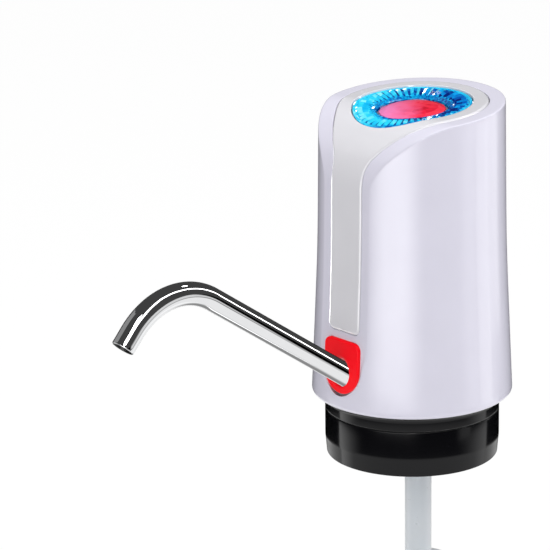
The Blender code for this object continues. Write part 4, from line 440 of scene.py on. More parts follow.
class Finish(Nodes):
    """A material built on its Principled shader. Fixed values go on the shader's sockets."""

    def __init__(self, name, **fixed):
        self.look = bpy.data.materials.new(name)
        self.look.use_nodes = True
        super().__init__(self.look.node_tree)
        self.shader = self.tree.nodes["Principled BSDF"]
        self.wear(**fixed)
        self.place = self.add("TexCoord", output="Object")

    def wear(self, **values):
        """Values or wires on the shader's sockets."""
        for label, value in values.items():
            self.feed(self.shader.inputs[label.replace("_", " ").title().replace("Ior", "IOR")], value)
        return self.look

    def noise(self, size, detail=2.0, stretch=(1, 1, 1)):
        """Noise with features about size millimetres across, around 0.5."""
        where = self.add("Mapping", {}, {"Vector": self.place, "Scale": stretch})
        return self.add("TexNoise", {}, {"Vector": where, "Scale": 1 / (size * MM), "Detail": detail})

    def blend(self, factor, low, high):
        """A colour mixed from low to high; each is a colour or a wire."""
        low, high = ((*c, 1.0) if isinstance(c, tuple) else c for c in (low, high))
        return self.add("Mix", {"data_type": "RGBA"}, {0: factor, 6: low, 7: high}, output=2)

    def ramp(self, factor, stops):
        colour = self.add("ValToRGB", {}, {0: factor})
        elements = colour.socket.node.color_ramp.elements
        while len(elements) < len(stops):
            elements.new(0.5)
        for element, (where, value) in zip(elements, stops):
            element.position, element.color = where, (*value, 1.0)
        return colour

    def bump(self, height, distance):
        """A bump of a distance in millimetres, on the shader's normal."""
        return self.add("Bump", {}, {"Height": height, "Distance": distance * MM, "Strength": 1.0})

    def metres(self, axis):
        """One of the object coordinates."""
        return self.add("SeparateXYZ", {}, {0: self.place}, output=axis)

    def attribute(self, name):
        return self.add("Attribute", {"attribute_name": name}, output="Fac")

    def millimetres(self, axis):
        return self.metres(axis) * 1000.0


def tint(colour, by):
    return tuple(min(max(c * by, 0.0), 1.0) for c in colour)


def moulded(name, colour, roughness, grain=0.35, depth=0.004, mottle=0.03, **fixed):
    """Moulded plastic or rubber: a cloudy tint, fine orange peel and faint handling haze."""
    look = Finish(name, **fixed)
    cloud = look.noise(14, 3)
    haze = look.noise(5, 4, (1, 1, 0.4))
    return look.wear(base_color=look.blend(cloud, tint(colour, 1 - mottle), tint(colour, 1 + mottle)),
                     roughness=haze * (roughness * 0.5) + roughness * 0.75,
                     normal=look.bump(look.noise(grain), depth))


def steel(name, colour=(0.62, 0.62, 0.63), roughness=0.28):
    """Zinc-plated steel: a fine grain that varies its roughness."""
    look = Finish(name, metallic=1.0)
    grain = look.noise(0.4, 3)
    return look.wear(base_color=look.blend(look.noise(8, 3), tint(colour, 0.94), tint(colour, 1.04)),
                     roughness=grain * (roughness * 0.6) + roughness * 0.7,
                     normal=look.bump(grain, 0.004))


def chrome(name):
    """Polished chrome with a trace of cloudiness, dull and dark in the bore."""
    look = Finish(name, metallic=1.0)
    bore = look.attribute("bore")
    plated = look.blend(look.noise(8), (0.76, 0.77, 0.78), (0.82, 0.82, 0.83))
    return look.wear(base_color=look.blend(bore, plated, (0.07, 0.07, 0.07)),
                     roughness=bore * 0.45 + look.noise(5, 1) * 0.05 + 0.015,
                     normal=look.bump(look.noise(6, 0), 0.0006))


def silicone(name):
    """Soft clear silicone, cloudy at random and whiter where its surface turns edge-on to the view: partly
    the thicker wall seen there, partly a painted sheen.
    """
    look = Finish(name, transmission_weight=0.25, ior=1.41, coat_weight=0.25, coat_roughness=0.2)
    # whiter towards a grazing view: a painted sheen in the colour, together with the milkiness of the
    # thicker wall seen there
    facing = look.add("LayerWeight", {}, {"Blend": 0.5}, output="Facing")
    milk_and_sheen = look.noise(6, 3) * 0.5 + facing * 0.5
    return look.wear(base_color=look.blend(milk_and_sheen, (0.86, 0.92, 0.98), (0.96, 0.98, 1.0)),
                     roughness=look.noise(2, 3) * 0.2 + 0.22,
                     normal=look.bump(look.noise(1.2, 2, (1, 1, 0.15)), 0.02))


def circuit_board(name):
    """Printed circuit: green lacquer over faint copper tracks, in two directions."""
    look = Finish(name, coat_weight=0.3)
    along_x = look.maths("SINE", look.millimetres("X") * 5.2) > 0.86
    along_y = look.maths("SINE", look.millimetres("Y") * 4.1) > 0.88
    lines = look.maths("MAXIMUM", along_x, along_y) * (look.noise(3, 1) > 0.5)
    return look.wear(base_color=look.blend(lines, (0.012, 0.16, 0.055), (0.05, 0.3, 0.1)),
                     roughness=look.noise(1) * 0.15 + 0.3, normal=look.bump(lines, 0.03))


def cell_wrap(name, low=37.9, high=101.6):
    """Battery sleeve: shrink film from low to high, and bare steel at both ends."""
    look = Finish(name, coat_weight=0.2)
    z = look.millimetres("Z")
    bare = (z < low) + (z > high)
    return look.wear(base_color=look.blend(bare, (0.02, 0.13, 0.42), (0.55, 0.55, 0.55)),
                     metallic=bare, roughness=look.noise(2) * 0.15 + 0.28,
                     normal=look.bump(look.noise(1.5, 2, (1, 1, 0.2)), 0.02))


def led(name):
    """Lamp package: yellow phosphor windows in a white case."""
    look = Finish(name, emission_strength=0.25)
    window = look.add("TexVoronoi", {}, {"Vector": look.place, "Scale": 420.0}) < 0.45
    tone = look.blend(window, (0.82, 0.82, 0.8), (0.85, 0.75, 0.2))
    return look.wear(base_color=tone, emission_color=tone, roughness=look.noise(1, 1) * 0.2 + 0.3)


def painted_facets(name, emission, stops, painted_sheen=None):
    """Cut clear plastic with painted light and shade: each facet in its own tone, lit or shaded by which way
    it leans, with random scatter, and darker towards the inside. A painted sheen is a second colour on the
    front left, and where it starts and ends its fading, in millimetres towards the rear right."""
    look = Finish(name, emission_strength=emission, coat_weight=0.25, coat_roughness=0.03)
    # painted light and shade: the facet tone by the facet's lean, and darkening towards the inside
    tone = look.attribute("facet") * 0.85 + look.noise(2.2, 3) * 0.35
    colour = look.ramp(tone + look.attribute("depth") * 0.38 - 0.38, stops)
    # a painted sheen: a pink glare over the stone's front left
    if painted_sheen:
        second, start, end = painted_sheen
        across = look.millimetres("X") * 0.68 + look.millimetres("Y") * 0.73 + look.noise(4) * 6.0 - 3.0
        colour = look.blend((end - across) / (end - start), colour, second)
    return look.wear(base_color=colour, emission_color=colour,
                     roughness=look.noise(1.0) * 0.06 + 0.03,
                     normal=look.bump(look.noise(0.8, 1), 0.01))


# Moulded finishes by their material slots: colour, roughness and what else differs
MOULDED = {
    "white_abs": ((0.785, 0.768, 0.885), 0.2, dict(coat_weight=0.4, coat_roughness=0.06)),
    "panel_abs": ((0.82, 0.812, 0.855), 0.16, dict(coat_weight=1.0, coat_roughness=0.04)),
    "black_abs": ((0.004, 0.004, 0.005), 0.12, dict(depth=0.002, mottle=0.2, specular_ior_level=0.2,
                                                    coat_weight=0.1, coat_roughness=0.06)),
    "inner_abs": ((0.32, 0.33, 0.35), 0.5, dict(grain=0.6, depth=0.02)),
    # the red plastic also glows a little by its emission, though it is no lamp: a painted glow
    "red_abs": ((0.95, 0.0, 0.008), 0.3, dict(mottle=0.02, specular_ior_level=0.2, emission_strength=0.18,
                                              emission_color=(1.0, 0.0, 0.006, 1.0))),
    "grey_silicone": ((0.42, 0.44, 0.46), 0.5, dict(grain=0.5, depth=0.015)),
    "black_rubber": ((0.02, 0.02, 0.021), 0.6, dict(grain=0.4, depth=0.03)),
    "white_diffuser": ((0.85, 0.88, 0.9), 0.5, dict(grain=0.3, depth=0.02)),
    "red_lead": ((0.55, 0.01, 0.01), 0.4, {}),
    "black_lead": ((0.015, 0.015, 0.015), 0.4, {}),
}
MADE = {"zinc_steel": steel, "chrome": chrome, "silicone": silicone, "green_board": circuit_board,
        "cell_wrap": cell_wrap, "led": led}
# Cut stones: their glow by emission, the colours from dark to light that paint each facet's light and shade,
# and a painted sheen
CUT = {
    "blue_crystal": (0.16, [
        (0.0, (0.0, 0.012, 0.14)), (0.15, (0.0, 0.08, 0.38)), (0.32, (0.0, 0.24, 0.6)),
        (0.5, (0.005, 0.44, 0.76)), (0.75, (0.03, 0.63, 0.88)), (1.0, (0.35, 0.88, 0.98))]),
    # the jewel's last entry is a painted pink sheen on its front left
    "red_jewel": (0.14, [
        (0.0, (0.5, 0.0, 0.02)), (0.3, (0.78, 0.01, 0.04)), (0.7, (0.92, 0.05, 0.09)),
        (1.0, (0.95, 0.13, 0.2))], ((0.85, 0.22, 0.5), -9.0, 4.0)),
}


def make_looks():
    """Every finish by the name of its material slot."""
    looks = {name: moulded(name, *values, **more) for name, (*values, more) in MOULDED.items()}
    looks.update({name: make(name) for name, make in MADE.items()})
    looks.update({name: painted_facets(name, *values) for name, values in CUT.items()})
    return looks


LOOKS = make_looks()


# Pieces of the housing

def rim_matches():
    """The face border's inner line, down the hood's recess and round the outlet's pocket, and
    for each of its points the partner s on the rim. Partners have the same angle about the
    head's axis on the round part, and the same s beside the straight edges."""
    panel, pm = panel_half(SEAM + EDGE_ROUND)
    plate, qm = plate_half(SEAM + EDGE_ROUND)
    rear = AXIS_S - RIM_R / math.cos(TILT)
    for _ in range(8):
        p = on_sheet(0.0, rear)
        rear -= (body_radius(p[2]) - p[1]) / math.cos(TILT)
    theta = np.linspace(0, QUARTER + SHOULDER, pm[0] + 1)
    round_part = AXIS_S + (rear - AXIS_S) * np.cos(theta)
    s = panel[:, 1]
    share = (s[pm[0] + 1:pm[2] + 1] - s[pm[0]]) / (s[pm[2]] - s[pm[0]])
    shoulder = round_part[-1] + (s[pm[2]] - round_part[-1]) * share
    tongue = s[pm[2] + 1:pm[3] + 1]
    strip = np.concatenate([panel[pm[3]:], plate[:qm[1] + 1]])
    strip_s = tongue[-1] + (plate[qm[1], 1] - tongue[-1]) * along(strip)[1:]
    side = plate[qm[1] + 1:qm[2] + 1, 1]
    foot = np.full(qm[3] - qm[2], s_at(OUTLET_Z))
    turn = np.concatenate([np.full(len(panel) + qm[2] + 1, QUARTER),
                           QUARTER * (1 - steps(0, 1, qm[3] - qm[2]))])
    partner = np.concatenate([round_part, shoulder, tongue, strip_s, side, foot])
    return panel, plate, partner, turn


def rim_rows(partner, turn):
    """Rows across the rim's rounding: cubic curves from the side over the lip to the face,
    which is lifted round the outlet's foot."""
    flare, centre, half = s_at(OUTLET_Z + FLARE_RISE), s_at(OUTLET_Z), PLATE_HALF + FOOT_BORDER
    t = np.clip((partner - flare) / (centre - flare), 0, 1)
    ease = eased(t)
    x = chord_half(np.minimum(partner, flare)) * (1 - ease) + half * ease
    x = np.where(t >= 1, half * np.sin(turn), x)
    s = np.where(t >= 1, centre + half * np.cos(turn), partner)
    x[0] = x[-1] = 0.0
    lip = on_sheet(x, s)
    y = np.sqrt(np.maximum(body_radius(lip[:, 2]) ** 2 - x * x, 0))
    lip[:, 1] = np.copysign(y, lip[:, 1])
    tangent = unit(np.gradient(lip, axis=0))
    tangent[0], tangent[-1] = (1, 0, 0), (-1, 0, 0)
    low = lip + unit(np.cross(unit(lip * (1, 1, 0)), tangent)) * RIM_ROUND
    start = polar(body_radius(low[:, 2]), angle_of(low), low[:, 2])
    normal, forward = sheet_axes(s)
    inward = unit(np.cross(tangent, normal)) * (RIM_ROUND * (1 - ease) + FOOT_TUCK * ease)[:, None]
    inner = np.stack([x + inward[:, 0], s + (inward * forward).sum(1)], -1)
    inner[0, 0] = inner[-1, 0] = start[0, 0] = start[-1, 0] = 0.0
    lift = FOOT_LIFT * ease * np.cos(turn)
    t = np.linspace(0, 1, 15)[:, None, None]
    rows = (start * (1 - t) ** 3 + lip * 3 * t * (1 - t) ** 2
            + on_sheet(x, s, lift) * 3 * t * t * (1 - t) + lifted(inner, lift) * t ** 3)
    return rows, inner, lift


def recess(shell, half, deep, floor):
    """A recess in the face: a quarter-round edge, its wall down to deep, and its floor, which
    runs from a stretch of its outline across to x = 0."""
    line, wall_line = half(SEAM + EDGE_ROUND)[0], half(SEAM)[0]
    t = np.linspace(0, QUARTER, 7)[:, None, None]
    flat = line * (1 - np.sin(t)) + wall_line * np.sin(t)
    rows = lifted(flat, -EDGE_ROUND * (1 - np.cos(t))[..., 0])
    wall = lifted(wall_line, np.linspace(-EDGE_ROUND, -deep, 4)[:, None])
    shell.grid(np.concatenate([rows, wall[1:]]), mirror=True)
    x, s = wall_line[floor].T
    share = np.linspace(1, 0, 13)
    shell.grid(on_sheet(x[:, None] * share, s[:, None] + 0 * share, -deep), mirror=True)


def low_angles(top, angle, turn, lowest):
    """The angle at which each line down the side meets the foot, spread out at the front."""
    low = angle.copy()
    first = int(np.argmax(angle < FRONT_ANGLE))
    walk = along(np.stack([angle[first:lowest + 1] * FOOT_R, top[first:lowest + 1, 2]], -1))
    corner = FOOT_CORNER / FOOT_R
    low[first:lowest + 1] = angle[first] + (corner - angle[first]) * walk
    low[lowest:] = corner * turn[lowest:] / QUARTER
    return low


def inner_wall(shell, low, ring, e):
    """The inside, from the foot's inner ring with its corner at e: the round wall and the
    sheet behind the face, up to the line where they meet."""
    s_foot = s_at(FOOT_Z)
    fine = np.linspace(AXIS_S - REAR_REACH, AXIS_S, 400)
    rear = fine[np.argmax(chord_half(fine, WALL, -INNER_OFF) > 0)]
    fine = np.concatenate([rear + (AXIS_S - rear) * (1 - np.cos(np.linspace(0, QUARTER, 300))),
                           np.linspace(AXIS_S, s_foot, 600)[1:]])
    x = chord_half(fine, WALL, -INNER_OFF)
    phi = np.arctan2(x, -on_sheet(0.0, fine, -INNER_OFF)[:, 1])
    phi[0], x[0] = math.pi, 0.0
    split = int(np.argmax(low < FRONT_ANGLE))
    s_line = np.interp(-low[:e + 1], -phi, fine)
    s_line[split:] = s_line[split] + (s_foot - s_line[split]) * np.linspace(0, 1, e + 1 - split)
    line = on_sheet(np.interp(s_line, fine, x), s_line, -INNER_OFF)
    line[0, 0] = 0.0
    line[-1] = ring[e]
    t = np.linspace(0, 1, 12)[:, None]
    a = angle_of(line)
    a[0] = math.pi
    z = line[:, 2] * (1 - t) + FOOT_Z * t
    wall = polar(body_radius(z) - WALL, a * (1 - t) + low[:e + 1] * t, z)
    wall[0], wall[-1] = line, ring[:e + 1]
    shell.grid(wall, mirror=True)
    share = ring[e:, 0] / ring[e, 0]
    sheet = line[:, None] * np.stack([share, share * 0 + 1, share * 0 + 1], -1)
    sheet[-1] = ring[e:]
    shell.grid(sheet, mirror=True)


def housing_tools():
    """What is cut out of the housing: the light ring's hole, the outlet's socket, the port."""
    a = np.arange(160) * TURN / 160
    radii = (0.0, 6.0, 12.0, RING_HOLE_R)
    rows = [on_head(r, a, HOLE_LOW) for r in radii] + [on_head(r, a, HOLE_HIGH) for r in radii[::-1]]
    socket = rod(SPOUT_FACE - SPOUT_OUT * (SPOUT_DEPTH + SOCKET_OVER), SPOUT_FACE + SPOUT_OUT * SOCKET_OVER,
                 SOCKET_R, 96)
    w, h, c = PORT_HALF, PORT_UP, PORT_CUT
    x, z = rounded([(-w, h), (-w, -h + c), (-w + c, -h), (w - c, -h), (w, -h + c), (w, h)], PORT_ROUND, 4).T
    port = capped(*(np.stack([x, 0 * x + y, PORT_Z + z], -1) for y in PORT_ENDS))
    return [Shell().grid(rows, wrap=True), socket, port]


def housing_shell():
    """The white housing, as one closed skin with its openings cut."""
    shell = Shell()
    panel, plate, partner, turn = rim_matches()
    rows, inner, lift = rim_rows(partner, turn)
    shell.grid(rows, mirror=True)
    # face between the rim and the recess
    face = between(inner, np.concatenate([panel, plate]), 7)
    shell.grid(lifted(face, lift * np.linspace(1, 0, 7)[:, None]), mirror=True)
    marks, plate_marks = panel_half()[1], plate_half()[1]
    recess(shell, panel_half, SEAT, slice(0, marks[4] + 1))
    recess(shell, plate_half, POCKET, slice(plate_marks[0], None))
    # side: straight lines in the unrolled plane from the rim's first row to the foot
    top = rows[0]
    angle = angle_of(top)
    angle[0], angle[-1] = math.pi, 0.0
    low = low_angles(top, angle, turn, len(panel) + plate_marks[2])
    # the inner wall's front corner falls on one of the foot's angles
    thin = body_radius(FOOT_Z) - WALL
    chord_y = FACE_INSET - body_radius(FOOT_Z) + INNER_OFF
    corner_angle = math.acos(-chord_y / thin)
    e = int(np.argmin(np.abs(low - corner_angle)))
    low[e] = corner_angle
    t = np.linspace(0, 1, 64)[:, None]
    z = top[:, 2] * (1 - t) + (FOOT_Z + FOOT_ROUND) * t
    shell.grid(polar(body_radius(z), angle * (1 - t) + low * t, z), mirror=True)
    # foot: its rounding, and the flat ring under it
    t = np.linspace(0, QUARTER, 9)[:, None]
    r = body_radius(FOOT_Z + FOOT_ROUND) - FOOT_ROUND * (1 - np.cos(t))
    rows = polar(r, low, FOOT_Z + FOOT_ROUND * (1 - np.sin(t)))
    shell.grid(rows, mirror=True)
    behind = np.arange(len(low)) <= e
    ring = np.stack([np.where(behind, thin * np.sin(low), -chord_y * np.tan(low)),
                     np.where(behind, -thin * np.cos(low), chord_y), FOOT_Z + 0 * low], -1)
    shell.grid([rows[-1], ring], mirror=True)
    inner_wall(shell, low, ring, e)
    return cut(shell, housing_tools(), "housing_shell")


SPOUT_OUT = np.array([0, -math.cos(SPOUT_TILT), math.sin(SPOUT_TILT)])
SPOUT_UP = np.array([0, math.sin(SPOUT_TILT), math.cos(SPOUT_TILT)])
SPOUT_FACE = on_sheet(0.0, s_at(OUTLET_Z - SPOUT_DROP), PLATE_PROUD)


def edge_rows(line, edge, proud, back, count):
    """Rows up a wall and over its quarter-round edge, for an outline that is drawn in by a size."""
    return [lifted(line(0.0), -back)] + [
        lifted(line(edge * (1 - math.cos(k))), proud - edge * (1 - math.sin(k)))
        for k in np.linspace(0, QUARTER, count)]


def hood_panel():
    """The hood: its outline's wall, a quarter-round edge, the curved top up to the light
    ring's hole, the hole's wall and the back."""
    shell = Shell()
    line, marks = panel_half()
    bend, hole = marks[1], RING_R + RING_GAP
    theta = np.full(len(line), math.pi)
    theta[:marks[0] + 1] = np.linspace(0, QUARTER + SHOULDER, marks[0] + 1)
    theta[marks[0] + 1:bend + 1] = steps(QUARTER + SHOULDER, math.pi, bend - marks[0])
    run = np.zeros(len(line))
    run[bend:] = along(line[bend:])

    def opening(radius):
        s = AXIS_S - radius * np.cos(theta)
        return np.stack([radius * np.sin(theta), s + (line[-1, 1] - s) * run], -1)

    def inset(by):
        line = panel_half(-by)[0]
        line[0, 0] = line[-1, 0] = 0.0
        return line

    rows = edge_rows(inset, PANEL_EDGE, PANEL_PROUD, PANEL_DEPTH, 9)
    last, back, low = inset(PANEL_EDGE + PANEL_LAP), inset(0.0), opening(hole)
    lip = opening(hole + 0.25)
    lip[bend + 1:] = low[bend + 1:]
    lip[-1], low[-1] = last[-1], back[-1]
    rows += [*lifted(between(last, lip, 15), PANEL_PROUD)]
    shell.grid(rows, mirror=True)
    wall = ((0.25, PANEL_PROUD), (0.07, PANEL_PROUD - 0.07), (0.0, PANEL_PROUD - 0.25), (0.0, -PANEL_DEPTH))
    shell.grid([on_head(hole + r, theta[:bend + 1], off) for r, off in wall], mirror=True)
    shell.grid(lifted(between(back, low, 9), -PANEL_DEPTH), mirror=True)
    return shell


def outlet_plate():
    """The red plate: a rounded outline around a slanted round hole. Each hole point is a
    point of the spout's circle carried along the spout until it reaches its level."""
    def loop(by):
        half = plate_half(-by)[0]
        return np.concatenate([half, half[-2:0:-1] * (-1, 1)])

    x, s = loop(0.0).T
    angle = np.arctan2(x, s_at(OUTLET_Z - SPOUT_DROP) - s)[:, None]

    def hole(wider, level):
        ring = np.sin(angle) * (1, 0, 0) + np.cos(angle) * SPOUT_UP
        ring = SPOUT_FACE + (SPOUT_R + RUN_GAP + wider) * ring
        for _ in range(6):
            miss = FACE_INSET - body_radius(ring[:, 2]) - level - ring[:, 1]
            ring = ring + SPOUT_OUT * (miss / SPOUT_OUT[1])[:, None]
        return ring

    rows = edge_rows(loop, PLATE_EDGE, PLATE_PROUD, PLATE_BACK, 8)
    rows += [*between(lifted(loop(PLATE_EDGE + PLATE_LAP), PLATE_PROUD), hole(0.3, PLATE_PROUD), 9)]
    rows += [hole(0.08, PLATE_PROUD - 0.09), hole(0.0, PLATE_PROUD - 0.3), hole(0.0, -PLATE_BACK), rows[0]]
    return Shell().grid(rows, wrap=True)


def cut_stone(rows, count, point):
    """Facets between rings of points. Each row is (radius, level, shift, ridge): rings of
    unlike shift are joined by triangles and others by quads, and ridge lifts every second
    point and lowers the others."""
    shell = Shell()
    k = np.arange(count)
    shell.put(np.concatenate([point(r, (k + shift / 2) * TURN / count, w + ridge * (-1.0) ** k)
                              for r, w, shift, ridge in rows]), [])
    for n in range(len(rows) - 1):
        a, b = n * count + k, (n + 1) * count + k
        a2, b2 = np.roll(a, -1), np.roll(b, -1)
        joins = {0: [(a, a2, b2, b)], 1: [(a, a2, b), (b, a2, b2)], -1: [(a, b2, b), (a, a2, b2)]}
        for corners in joins[rows[n + 1][2] - rows[n][2]]:
            shell.faces += np.stack(corners, -1).tolist()
    return shell


def painted_facet_shading(mesh, deepest, span):
    """Two numbers for each facet, both painted light and shade: a tone from its normal, lit on one side of a
    radial cut and shaded on the other with some random scatter, and how far out it lies, from 0 to 1, which
    makes the colour darker towards the inside."""
    normal, centre = np.zeros(len(mesh.polygons) * 3), np.zeros(len(mesh.polygons) * 3)
    mesh.polygons.foreach_get("normal", normal)
    mesh.polygons.foreach_get("center", centre)
    normal, centre = normal.reshape(-1, 3), centre.reshape(-1, 3) / MM
    wave = np.sin(np.round(normal, 3) @ np.array([12.9898, 78.233, 37.719])) * 43758.5
    around = unit(np.stack([-centre[:, 1], centre[:, 0]], -1))
    lean = (normal[:, :2] * around).sum(1)
    tone = 0.5 + 0.3 * np.tanh(lean * 8) + 0.4 * (wave - np.floor(wave) - 0.5)
    out = np.clip((np.hypot(centre[:, 0], centre[:, 1] / math.cos(TILT)) - deepest) / span, 0, 1)
    for name, values in (("facet", tone), ("depth", out)):
        mesh.attributes.new(name, "FLOAT", "FACE").data.foreach_set("value", values.astype(np.float32))
    return mesh


def light_ring():
    """The clear blue ring: a thin outer rim, a course of radial ridges and valleys, and a
    dished course of small cuts inside it, closed below by a flange."""
    rows = [(RING_R, -PANEL_DEPTH, 0, 0), (RING_R, -0.45, 0, 0), (RING_R - 0.12, -0.1, 0, 0),
            (RING_R - 0.45, 0.0, 0, 0), (20.0, 0.0, 0, 0), (19.6, -0.3, 0, 0), (19.0, -0.15, 0, 0.25),
            (17.3, -0.42, 0, 0.34), (15.4, -0.75, 0, 0.3), (14.6, -0.95, 0, 0.12), (14.0, -1.35, 1, 0),
            (13.2, -1.15, 0, 0), (RING_BORE + 0.25, -1.75, 1, 0), (RING_BORE, -2.05, 1, 0),
            (RING_BORE, -RING_DEPTH, 1, 0), (RING_FLANGE, -RING_DEPTH, 1, 0),
            (RING_FLANGE, -PANEL_DEPTH, 1, 0), (RING_R, -PANEL_DEPTH, 0, 0)]
    return painted_facet_shading(cut_stone(rows, 96, on_head).mesh("crystal_ring"), 12.0, 9.0)


def head_frame(r, a, w):
    """A point at radius, angle and height about the head's tilted axis."""
    u, v = r * np.cos(a), r * np.sin(a)
    return np.stack([u, v * math.cos(TILT) - w * math.sin(TILT),
                     AXIS_Z + v * math.sin(TILT) + w * math.cos(TILT)], -1)


def button_jewel():
    """The red stone on the button: girdle, two crown courses, a star course and a table."""
    top = JEWEL_GIRDLE + JEWEL_RISE
    rows = [(0.0, -3.1, 0, 0), (JEWEL_R - 0.6, -3.1, 0, 0), (JEWEL_R, -2.6, 0, 0),
            (JEWEL_R, JEWEL_GIRDLE, 0, 0), (JEWEL_R * 0.97, JEWEL_GIRDLE + 0.12, 0, 0),
            (JEWEL_R * 0.79, JEWEL_GIRDLE + 0.86, 1, 0), (JEWEL_R * 0.56, top - 0.12, 0, 0),
            (JEWEL_R * 0.36, top, 1, 0), (0.0, top, 1, 0)]
    return painted_facet_shading(cut_stone(rows, 16, head_frame).mesh("button_jewel"), 0.0, 12.0)


def spout_path():
    """The spout's centre line: straight, an arc turning downwards, and a short straight end."""
    line = SPOUT_FACE + np.linspace(-SPOUT_DEPTH, SPOUT_RUN, 60)[:, None] * SPOUT_OUT
    a = steps(0, SPOUT_TURN, 64)[:, None]
    bend = (SPOUT_FACE + SPOUT_OUT * (SPOUT_RUN + SPOUT_BEND * np.sin(a))
            - SPOUT_UP * SPOUT_BEND * (1 - np.cos(a)))
    end = unit(SPOUT_OUT * math.cos(SPOUT_TURN) - SPOUT_UP * math.sin(SPOUT_TURN))
    return np.concatenate([line, bend, bend[-1] + steps(0, SPOUT_END, 4)[:, None] * end])


def spout_tube():
    """The drawn tube: outside, a rounded lip at both ends, and the bore."""
    path = spout_path()
    n = len(path) - 1
    wall = (SPOUT_R - SPOUT_BORE) / 2
    mid = SPOUT_R - wall
    lip = [(mid + wall * math.cos(a), wall * math.sin(a)) for a in np.linspace(0, math.pi, 9)]
    rings = [(0, r, wall - d) for r, d in lip[::-1]]
    rings += [(k, SPOUT_R) for k in range(1, n)]
    rings += [(n, r, d - wall) for r, d in lip]
    rings += [(k, SPOUT_BORE) for k in range(n - 1, 0, -1)]
    mesh = sweep(path, rings + rings[:1]).mesh("spout_tube")
    place = np.zeros(len(mesh.vertices) * 3)
    mesh.vertices.foreach_get("co", place)
    # vertices nearer the centre line than the middle of the wall are in the bore
    gap = np.sqrt(((place.reshape(-1, 1, 3) / MM - path[None]) ** 2).sum(-1)).min(1)
    inside = (gap < mid).astype(np.float32)
    mesh.attributes.new("bore", "FLOAT", "POINT").data.foreach_set("value", inside)
    return mesh


# Pieces of the base and the hose

def at_screws(low, high, radius):
    """A rod from low to high at each of the three screws."""
    places = [(SCREW_CIRCLE * math.cos(a), SCREW_CIRCLE * math.sin(a))
              for a in (QUARTER + TURN * k / 3 for k in range(3))]
    return [rod((x, y, low), (x, y, high), radius) for x, y in places]


def base_collar():
    """The black collar: mouth, flared waist, straight side, ledge and screw seats."""
    corners = [(COLLAR_INNER, 0.0), (COLLAR_MOUTH, 0.0), (COLLAR_MOUTH + 0.08, 1.2), (COLLAR_R - 0.14, 4.9),
               (COLLAR_R, 6.1), (COLLAR_R, COLLAR_TOP), (LEDGE_R, COLLAR_TOP), (LEDGE_R, LEDGE_Z),
               (COLLAR_INNER, LEDGE_Z)]
    profile = rounded(corners, [0.25, 0.35, 0.5, 1.1, 1.0, 0.3, 0.3, 0.3, 0.0])
    heads = at_screws(LEDGE_Z - 3.0, LEDGE_Z + 2.0, SCREW_HEAD)
    return cut(lathe(profile), heads + at_screws(LEDGE_Z + 1.0, COLLAR_TOP + 3.0, SCREW_HOLE), "base_collar")


def base_plate():
    """The black base: band, hollow flare, floor, spigot, hose barb and inner stub."""
    a = np.linspace(0, QUARTER, 14)
    flare = np.stack([COLLAR_R + (FLARE_R - COLLAR_R) * (1 - np.cos(a)),
                      BAND_TOP + (FLARE_TOP - BAND_TOP) * np.sin(a)], -1)
    spigot = body_radius(SPIGOT_TOP) - WALL - CLEAR
    top = [(spigot, FLARE_TOP), (spigot, SPIGOT_TOP), (spigot - SPIGOT_WALL, SPIGOT_TOP),
           (spigot - SPIGOT_WALL, FOOT_Z), (0, FOOT_Z), (0, FOOT_Z - FLOOR), (LEDGE_R, FOOT_Z - FLOOR)]
    low = rounded([(LEDGE_R, BAND_Z), (COLLAR_R, BAND_Z), (COLLAR_R, BAND_TOP)], [0, 0.3, 0])
    # the front of the spigot stands clear of the flat face's inside
    front = np.array([(-50, -50), (50, -50), (50, SPIGOT_FRONT), (-50, SPIGOT_FRONT)], float)
    tools = [capped(*(np.column_stack([front, np.full(4, z)]) for z in (FLARE_TOP + 0.1, 60.0))),
             *at_screws(FOOT_Z + 0.01, FOOT_Z + 9.0, BOSS_R), *at_screws(10.0, FOOT_Z + 3.0, SCREW_HOLE),
             rod((0, HOSE_Y, 10), (0, HOSE_Y, 40), PIPE_BORE)]
    mesh = cut(lathe(np.concatenate([low[1:], flare[1:], top])), tools, "base_plate")
    barb = [(PIPE_BORE, BARB_Z), (STUB_R, BARB_Z)]
    for z in BARB_Z + BARB_PITCH * np.arange(3):
        barb += [(BARB_CORE, z + 0.3), (BARB_R, z + 3.0), (BARB_CORE, z + 3.3)]
    pipe = lathe(barb + [(BARB_CORE, PIPE_TOP), (PIPE_BORE, PIPE_TOP)], 64, (0, HOSE_Y))
    stub = [(PIPE_BORE, STUB_Z), (STUB_R, STUB_Z), (STUB_R, STUB_TOP), (PIPE_BORE, STUB_TOP)]
    lathe(stub, 64, (0, HOSE_Y), pipe)
    # both as one
    bm = bmesh.new()
    bm.from_mesh(mesh)
    bm.from_mesh(pipe.mesh("barb"))
    bm.to_mesh(mesh)
    bm.free()
    return mesh


def neck_gasket():
    """The soft sleeve in the collar's mouth, with three lips round its inside."""
    outer, top = COLLAR_INNER - CLEAR, GASKET_TOP
    thin, pitch = outer - GASKET_WALL, top / 3.5
    corners, radii = [(thin, 0.0), (outer, 0.0), (outer, top), (thin, top)], [0.2] * 4
    for k in (3, 2, 1):
        z = pitch * (k - 0.25)
        corners += [(thin, z + LIP_HIGH), (thin - LIP, z + 0.15),
                    (thin - LIP, z - 0.15), (thin, z - LIP_HIGH)]
        radii += [0.3, 0.1, 0.1, 0.3]
    return lathe(rounded(corners, radii, 4))


def drawn_half(z):
    """Half the hank's width: full at its ends, drawn in at the waist by a raised cosine."""
    waist = HANK_TOP - HANK_RUN / 2
    return HANK_HALF - HANK_WAIST * (1 + np.cos(TURN * (z - waist) / HANK_RUN)) / 2


